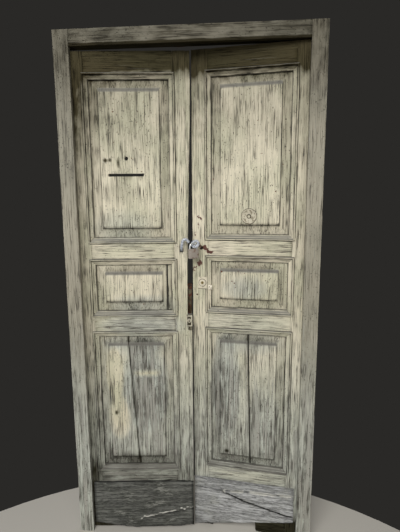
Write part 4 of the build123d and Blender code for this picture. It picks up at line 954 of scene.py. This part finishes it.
def places_along(points, pitch):
    """Evenly spaced places and directions along the smooth line of a route."""
    line = [vert.co.copy() for vert in mesh_of(route_curve("line", points, 0.0)).vertices]
    found, left_over = [], pitch / 2
    for start, end in zip(line, line[1:]):
        step = (end - start).length
        while left_over <= step:
            found.append((start.lerp(end, left_over / step), (end - start).normalized()))
            left_over += pitch
        left_over -= step
    return found


left_links = places_along(LEFT_ROUTE, LINK_PITCH)
print("the left end has", len(left_links), "links in its tube")

# %% [markdown]
# The tube is that line with a round section. A link is a small circle spun into a ring, its halves moved
# apart to make it oval, and each one is turned a quarter from the last, as in any chain. The ring on the
# shackle is the same spun ring, larger, with links set round inside it.

# %% Tubes, ring and links


def tube(points, radius):
    """A closed round tube along a route."""
    shape = bmesh.new()
    shape.from_mesh(mesh_of(route_curve("tube", points, radius)))
    bmesh.ops.remove_doubles(shape, verts=shape.verts, dist=MERGE)
    bmesh.ops.recalc_face_normals(shape, faces=shape.faces)
    return shape


def ring(shape, radius, wire, sides, steps, matrix):
    """Spin a small circle into a ring and place it."""
    section = bmesh.ops.create_circle(
        shape,
        segments=sides,
        radius=wire,
        matrix=Matrix.Translation((radius, 0, 0)) @ Matrix.Rotation(pi / 2, 4, "X"),
    )["verts"]
    edges = {edge for vert in section for edge in vert.link_edges}
    known = set(shape.verts) - set(section)
    bmesh.ops.spin(
        shape,
        geom=section + list(edges),
        cent=(0, 0, 0),
        axis=(0, 0, 1),
        angle=2 * pi,
        steps=steps,
        use_merge=True,
    )
    made = [vert for vert in shape.verts if vert not in known]
    faces = {face for vert in made for face in vert.link_faces}
    bmesh.ops.recalc_face_normals(shape, faces=list(faces))
    bmesh.ops.transform(shape, matrix=matrix, verts=made, space=STAY)
    return made


def chain_links(spots):
    """Oval links at the given places, each turned a quarter from the last."""
    shape = bmesh.new()
    for index, (place, direction) in enumerate(spots):
        made = ring(shape, LINK_R, LINK_WIRE_R, sides=8, steps=14, matrix=STAY)
        for vert in made:
            vert.co.y += LINK_STRETCH if vert.co.y > 0 else -LINK_STRETCH
        quarter = Matrix.Rotation(pi / 2 * (index % 2), 4, "Y")
        turn = direction.to_track_quat("Y", "Z").to_matrix().to_4x4() @ quarter
        bmesh.ops.transform(shape, matrix=Matrix.Translation(place) @ turn, verts=made, space=STAY)
    return shape


eye_turn = Matrix.Translation(EYE_AT) @ EYE_AXIS.to_track_quat("Z", "X").to_matrix().to_4x4()
eye_count = round(2 * pi * EYE_R / LINK_PITCH)
eye_links = []
for index in range(eye_count):
    turn = 2 * pi * index / eye_count
    at = eye_turn @ Vector((EYE_R * cos(turn), EYE_R * sin(turn), 0))
    eye_links.append((at, (eye_turn.to_3x3() @ Vector((-sin(turn), cos(turn), 0))).normalized()))
eye = bmesh.new()
ring(eye, EYE_R, SLEEVE_R, sides=20, steps=40, matrix=eye_turn)
left_tube, right_tail = tube(LEFT_ROUTE, SLEEVE_R), tube(RIGHT_ROUTE, SLEEVE_R)
tail_links = places_along(RIGHT_ROUTE, LINK_PITCH)
add_piece("left_chain_sleeve", left_tube, MILKY_SLEEVE, "left_leaf", 60, ("left_chain",))
add_piece("left_chain_links", chain_links(left_links), PLATED_STEEL, "left_leaf")
add_piece("right_chain_eye", eye, MILKY_SLEEVE, "right_leaf", 60, ("right_chain",))
add_piece("right_chain_eye_links", chain_links(eye_links), PLATED_STEEL, "right_leaf")
add_piece("right_chain_tail", right_tail, BROWNED_SLEEVE, "right_leaf", 60)
add_piece("right_chain_tail_links", chain_links(tail_links), RUSTY_IRON, "right_leaf")
print("links in the ring:", eye_count)

# %% [markdown]
# A shackle is one bright bar, bent over in a half circle. A ring of points at the foot of the long leg is
# drawn up, spun through half a turn, and drawn down again to the short leg, then both ends are closed and
# slightly rounded.

# %% Padlock shackle
PADLOCK_AT = NEAR_EDGE + Vector((7.2, -44.56, -38)) * MM
PADLOCK_TURN = Matrix.Translation(PADLOCK_AT) @ Matrix.Rotation(radians(30), 4, "Z")
SHACKLE_R = 3.75 * MM
SHACKLE_HALF = 18.5 * MM
SHACKLE_RISE = 7.5 * MM
SHACKLE_LONG = 32 * MM
SHACKLE_SHORT = 9 * MM
SHACKLE_EASE = 0.8 * MM


def shackle():
    """The bent bar, in the padlock's own directions."""
    shape = bmesh.new()
    foot = Matrix.Translation((SHACKLE_HALF, 0, -SHACKLE_LONG))
    bmesh.ops.create_circle(shape, cap_ends=False, segments=20, radius=SHACKLE_R, matrix=foot)
    foot_edges = shape.edges[:]
    drawn = bmesh.ops.extrude_edge_only(shape, edges=foot_edges)["geom"]
    verts = [item for item in drawn if isinstance(item, bmesh.types.BMVert)]
    bmesh.ops.translate(shape, verts=verts, vec=(0, 0, SHACKLE_LONG + SHACKLE_RISE))
    loop = [item for item in drawn if isinstance(item, bmesh.types.BMEdge)]
    spun = bmesh.ops.spin(
        shape, geom=verts + loop, cent=(0, 0, SHACKLE_RISE), axis=(0, -1, 0), angle=pi, steps=20
    )["geom_last"]
    loop = [item for item in spun if isinstance(item, bmesh.types.BMEdge)]
    drawn = bmesh.ops.extrude_edge_only(shape, edges=loop)["geom"]
    verts = [item for item in drawn if isinstance(item, bmesh.types.BMVert)]
    bmesh.ops.translate(shape, verts=verts, vec=(0, 0, -SHACKLE_SHORT - SHACKLE_RISE))
    bmesh.ops.holes_fill(shape, edges=[edge for edge in shape.edges if edge.is_boundary], sides=24)
    bmesh.ops.bevel(
        shape,
        geom=sharp_edges(shape, 60),
        offset=SHACKLE_EASE,
        affect="EDGES",
        segments=2,
        profile=0.5,
        material=-1,
    )
    bmesh.ops.recalc_face_normals(shape, faces=shape.faces)
    bmesh.ops.transform(shape, matrix=PADLOCK_TURN, verts=shape.verts, space=STAY)
    return shape


bar = shackle()
print("the shackle has", len(bar.faces), "faces")
add_piece("bright_shackle", bar, PLATED_STEEL, "right_leaf", 50, ("padlock_shackle",))

# %% [markdown]
# Screws hold the lock's case, the bolt guides and the keep on the inner side. A screw head is a low disc
# with a slot: two slices mark the slot's sides, and the strip between them is pressed down. A head is made
# at each place, its slot turned as it happened to stop, and those of one leaf form one piece.

# %% Screws on the inner side


def screw_head(shape, radius, matrix):
    """A low slotted head whose top looks along z."""
    known = set(shape.verts)
    bmesh.ops.create_cone(
        shape, cap_ends=True, segments=16, radius1=radius, radius2=radius * 0.82, depth=radius * 0.4
    )
    made = [vert for vert in shape.verts if vert not in known]
    for side in (-1, 1):
        edges = {edge for vert in made for edge in vert.link_edges}
        faces = {face for vert in made for face in vert.link_faces}
        cut = bmesh.ops.bisect_plane(
            shape,
            geom=made + list(edges) + list(faces),
            dist=1e-6,
            plane_co=(side * radius * 0.12, 0, 0),
            plane_no=(1, 0, 0),
        )["geom_cut"]
        made += [item for item in cut if isinstance(item, bmesh.types.BMVert) and item not in made]
    top = [
        face
        for face in {face for vert in made for face in vert.link_faces}
        if face.normal.z > 0.9 and abs(face.calc_center_median().x) < radius * 0.1
    ]
    sunk = bmesh.ops.extrude_face_region(shape, geom=top)["geom"]
    bmesh.ops.delete(shape, geom=top, context="FACES")
    verts = [item for item in sunk if isinstance(item, bmesh.types.BMVert)]
    bmesh.ops.translate(shape, verts=verts, vec=(0, 0, -radius * 0.25))
    made = [vert for vert in shape.verts if vert not in known]
    bmesh.ops.transform(shape, matrix=matrix, verts=made, space=STAY)


def facing(leaf, u, depth, z, look, turn):
    """A matrix at a place on a leaf or the frame, its z axis along look, turned about it."""
    matrix = TO_ROOM[leaf]
    axis = (matrix.to_3x3() @ Vector(look)).normalized()
    return (
        Matrix.Translation(matrix @ Vector((u, depth, z)))
        @ axis.to_track_quat("Z", "X").to_matrix().to_4x4()
        @ Matrix.Rotation(turn, 4, "Z")
    )


INSIDE = (0, 1, 0)
OUTSIDE = (0, -1, 0)
SCREW_R = 4.0
# How far behind a leaf's outer face the screwed faces of the guides, the keep and the lock's case lie.
GUIDE_FACE = LEAF_T + 3.4
CASE_FACE = LEAF_T + 28.4
KEEP_SCREWS = [(465, GUIDE_FACE, z) for z in (1278, 1304)]
SCREWS = {
    "left": [(495, GUIDE_FACE, z) for z in (2060, 2350, 70, 348)] + KEEP_SCREWS,
    "right": [(u, CASE_FACE, z) for u in (448, 521) for z in (1276, 1374)],
}
for leaf, places in SCREWS.items():
    name = f"{leaf}_fitting_screws"
    shape = bmesh.new()
    choice = Random(len(name))
    for u, depth, z in places:
        screw_head(shape, SCREW_R * MM, facing(leaf, u, depth, z, INSIDE, choice.uniform(0, pi)))
    add_piece(name, shape, RUSTY_IRON, f"{leaf}_leaf", 30)
    print(name, "has", len(places), "screws")

# %% [markdown]
# Small dark marks on the panels are old nail and screw holes, and beads of rusted nail heads that have
# pushed the paint off. Each is a shallow dome, wider than high, sunk to its rim in the worn board. A sphere
# pressed flat makes one, and only its outer half shows.

# %% Nail heads
FIELD_DEPTH = 6.0
MARGIN_DEPTH = 9.0
NAIL_SUNK = 0.4
NAIL_FLAT = 0.45
# Each nail is its u, its z and its radius.
NAILS = {
    "left": (
        (184, 2123, 3.0), (298, 2123, 2.4), (292, 2077, 2.4), (184, 1989, 2.4), (325, 2164, 2.2),
        (264, 1916, 2.4), (309, 1856, 2.4), (246, 1858, 2.0), (464, 2016, 2.2), (466, 1978, 2.2),
        (455, 1758, 2.2), (300, 1222, 2.6), (130, 1105, 2.2), (238, 300, 2.6),
    ),
    "right": (
        (389, 1381, 4.4), (327, 1326, 3.4), (279, 1376, 2.4), (309, 1385, 2.4), (339, 1335, 2.8),
        (322, 1306, 2.6), (510, 1265, 4.4), (140, 1760, 3.4), (110, 1880, 2.4), (300, 2190, 2.2),
        (226, 2075, 2.2), (205, 1930, 2.2), (290, 1700, 2.4),
    ),
}


def board_depth(u, z, leaf):
    """How deep the surface lies at a place: the face, a panel's field, or the bevel round it."""
    rim = beyond_opening(leaf, u, z)[0]
    if rim < FIELD_STEP:
        return FIELD_DEPTH
    return 0.0 if rim > BEAD_OUTER else MARGIN_DEPTH


for leaf, nails in NAILS.items():
    shape = bmesh.new()
    for u, z, radius in nails:
        place = facing(leaf, u, board_depth(u, z, leaf) + NAIL_SUNK, z, OUTSIDE, 0.0)
        dome = Matrix.Diagonal((radius * MM, radius * MM, radius * NAIL_FLAT * MM, 1))
        bmesh.ops.create_uvsphere(shape, u_segments=14, v_segments=8, radius=1.0, matrix=place @ dome)
    add_piece(f"{leaf}_nail_heads", shape, RUSTY_IRON, f"{leaf}_leaf", 60)
print("nail heads:", sum(len(nails) for nails in NAILS.values()))

# %% [markdown]
# Where a plate meets the wood, paint bridges the joint and then cracks, and the crack fills with dirt. From
# a few steps away that dark line, dirt with the joint's shadow, is what draws the plate's outline, so the round
# rose, the lock's collar and the foot of the lock's plate each get a thin half-sunk dark bead of packed dirt
# and painted shadow.

# %% Packed dirt and painted shadow round the rose and the lock
PACKED_DIRT_AND_SHADOW = aged_metal("packed_dirt_and_painted_shadow", "2C261E", "4A4032", 0.0, 0.95, 5, 0.3)
ROSE_AT = (260.5, 1647.0)
LOCK_AT = (482.6, 1325.0)
# Each ring of packed dirt and painted shadow on the right leaf is its middle, its depth, its radius and its
# thickness.
DIRT_AND_SHADOW_RINGS = ((ROSE_AT, 5.8, 35.0, 1.6), (ROSE_AT, 2.0, 8.6, 1.5), (LOCK_AT, -2.2, 17.6, 1.2))
# The bead of packed dirt and painted shadow under the lock's plate is its middle and its size.
PLATE_FOOT = (LOCK_AT[0], -0.8, LOCK_AT[1] - 29.4)
PLATE_FOOT_SIZE = (44, 1.8, 2.2)

dirt_and_shade = bmesh.new()
for (u, z), depth, radius, wire in DIRT_AND_SHADOW_RINGS:
    place = facing("right", u, depth, z, OUTSIDE, 0.0)
    ring(dirt_and_shade, radius * MM, wire * MM, sides=8, steps=48, matrix=place)
plate_foot = Matrix.Translation(PLATE_FOOT) @ Matrix.Diagonal((*PLATE_FOOT_SIZE, 1))
bmesh.ops.create_cube(dirt_and_shade, size=1.0, matrix=TO_ROOM["right"] @ plate_foot)
bmesh.ops.recalc_face_normals(dirt_and_shade, faces=dirt_and_shade.faces)
add_piece("right_packed_dirt_and_shadow", dirt_and_shade, PACKED_DIRT_AND_SHADOW, "right_leaf", 50)

# %% [markdown]
# The capital of the cover strip is carved with a scroll. A scroll is a line that winds in on itself, so a
# smooth curve with a round section makes it, laid on the capital's disc. Beside the lock plate a small
# painted bracket is left of an older lock: a strip of iron, bent out over a pin.

# %% Scroll of the capital and the small bracket
SCROLL_AT = (523.5, -11.6, 1140.5)
SCROLL_TURNS = 1.6
SCROLL_OUTER = 11.0
SCROLL_STEPS = 18
SCROLL_R = 1.7 * MM
# The bracket's strip and the stub of its pin: each is its middle and its size on the right leaf.
BRACKET_BLOCKS = (((444, -2.0, 1304), (18, 3, 24)), ((440, -6.5, 1300), (7, 7, 12)))
BRACKET_EASE = 0.9 * MM


def scroll():
    """The carved scroll, which winds in from its outer end."""
    points = []
    for step in range(SCROLL_STEPS + 1):
        share = step / SCROLL_STEPS
        reach = SCROLL_OUTER * (1 - 0.8 * share)
        turn = 2 * pi * SCROLL_TURNS * share
        u, depth, z = SCROLL_AT
        points.append(TO_ROOM["left"] @ Vector((u + reach * cos(turn), depth, z + reach * sin(turn))))
    return tube(points, SCROLL_R)


def bracket():
    """A bent strip of iron with the stub of its pin."""
    shape = bmesh.new()
    for centre, size in BRACKET_BLOCKS:
        place = TO_ROOM["right"] @ Matrix.Translation(centre) @ Matrix.Diagonal((*size, 1))
        bmesh.ops.create_cube(shape, size=1.0, matrix=place)
    bmesh.ops.recalc_face_normals(shape, faces=shape.faces)
    bmesh.ops.bevel(
        shape,
        geom=shape.edges[:],
        offset=BRACKET_EASE,
        affect="EDGES",
        segments=2,
        profile=0.5,
        material=-1,
    )
    return shape


PAINTED_OVER = aged_metal("white_paint_over_iron", "E9E3D2", "7A5A4A", 0.0, 0.55, 6, 0.2)
add_piece("capital_scroll", scroll(), PAINTED_IRON, "left_leaf", 60)
add_piece("right_old_bracket", bracket(), PAINTED_OVER, "right_leaf", 30)
print("the scroll winds", SCROLL_TURNS, "times")

# %% [markdown]
# The door stands on a plain pale disc of floor before a dark backdrop, so that its open joints and the gap
# between its leaves look dark. Broad soft lights suit dull old paint: three stand in front, and one behind
# lights the inner side. That one is hidden from reflections, or it would shine under the head.

# %% Floor and lights


def floor_disc(centre, radius):
    """A plain pale disc of floor."""
    shape = bmesh.new()
    place = Matrix.Translation(centre)
    bmesh.ops.create_circle(shape, cap_ends=True, segments=96, radius=radius, matrix=place)
    mesh = bpy.data.meshes.new("floor")
    shape.to_mesh(mesh)
    shape.free()
    floor = bpy.data.objects.new("floor", mesh)
    bpy.context.collection.objects.link(floor)
    material, _, shader = new_material("pale_floor")
    shader.inputs["Base Color"].default_value = linear("CFCBC3")
    shader.inputs["Roughness"].default_value = 0.8
    mesh.materials.append(material)


floor_disc((0, -1.35, 0), 1.8)


def area_light(name, place, target, size, watts, colour):
    """A soft rectangular light that faces a point."""
    data = bpy.data.lights.new(name, "AREA")
    data.shape = "RECTANGLE"
    data.size, data.size_y = size
    data.energy = watts
    data.color = linear(colour)[:3]
    light = bpy.data.objects.new(name, data)
    light.location = place
    light.rotation_euler = (Vector(target) - Vector(place)).to_track_quat("-Z", "Y").to_euler()
    bpy.context.collection.objects.link(light)
    return light


area_light("sky", (-0.7, -3.6, 4.0), (0, 0, 1.0), (3.0, 2.0), 165, "FFFEFA")
area_light("street", (1.8, -4.2, 1.5), (0, 0, 1.2), (2.5, 2.6), 46, "FFFCF6")
area_light("left_fill", (-3.2, -3.0, 1.4), (0, 0, 1.1), (2.5, 3.0), 22, "F4F6FF")
rear = area_light("rear", (0.8, 4.4, 1.5), (0, 0, 1.3), (3.0, 2.6), 60, "FFFFFF")
rear.visible_glossy = False

world = bpy.data.worlds.new("backdrop")
world.use_nodes = True
world.node_tree.nodes["Background"].inputs["Color"].default_value = linear("2A2927")
world.node_tree.nodes["Background"].inputs["Strength"].default_value = 1.0
bpy.context.scene.world = world
bpy.context.scene.view_settings.view_transform = "Standard"

# %% [markdown]
# A photograph's camera can be found from lines whose places on the object are known. Fitting the leaves'
# edges, rails and panels gave where it stood: a little right of the middle, at eye height, looking slightly
# down and to the left through a wide phone lens. Its focal length in pixels and the photograph's width
# give Blender's lens in millimetres.

# %% Camera of the photograph
FOCAL_PX = 400.0
PHOTO_WIDTH_PX = 400.0
CAMERA_AT = Vector((0.186, -1.851, 1.705))
CAMERA_YAW, CAMERA_PITCH, CAMERA_ROLL = -0.07555, -0.15363, -0.00717


def photo_camera():
    """Stand the camera where the photograph was taken."""
    data = bpy.data.cameras.new("camera")
    data.sensor_fit = "HORIZONTAL"
    data.sensor_width = 36.0
    data.lens = data.sensor_width * FOCAL_PX / PHOTO_WIDTH_PX
    flat = cos(CAMERA_PITCH)
    forward = Vector((sin(CAMERA_YAW) * flat, cos(CAMERA_YAW) * flat, sin(CAMERA_PITCH)))
    level = Vector((cos(CAMERA_YAW), -sin(CAMERA_YAW), 0))
    upright = level.cross(forward)
    right = level * cos(CAMERA_ROLL) + upright * sin(CAMERA_ROLL)
    up = upright * cos(CAMERA_ROLL) - level * sin(CAMERA_ROLL)
    turn = Matrix((right, up, -forward)).transposed().to_4x4()
    camera = bpy.data.objects.new("camera", data)
    camera.matrix_world = Matrix.Translation(CAMERA_AT) @ turn
    bpy.context.collection.objects.link(camera)
    bpy.context.scene.camera = camera


photo_camera()
print("the lens is", round(bpy.context.scene.camera.data.lens, 1), "mm")
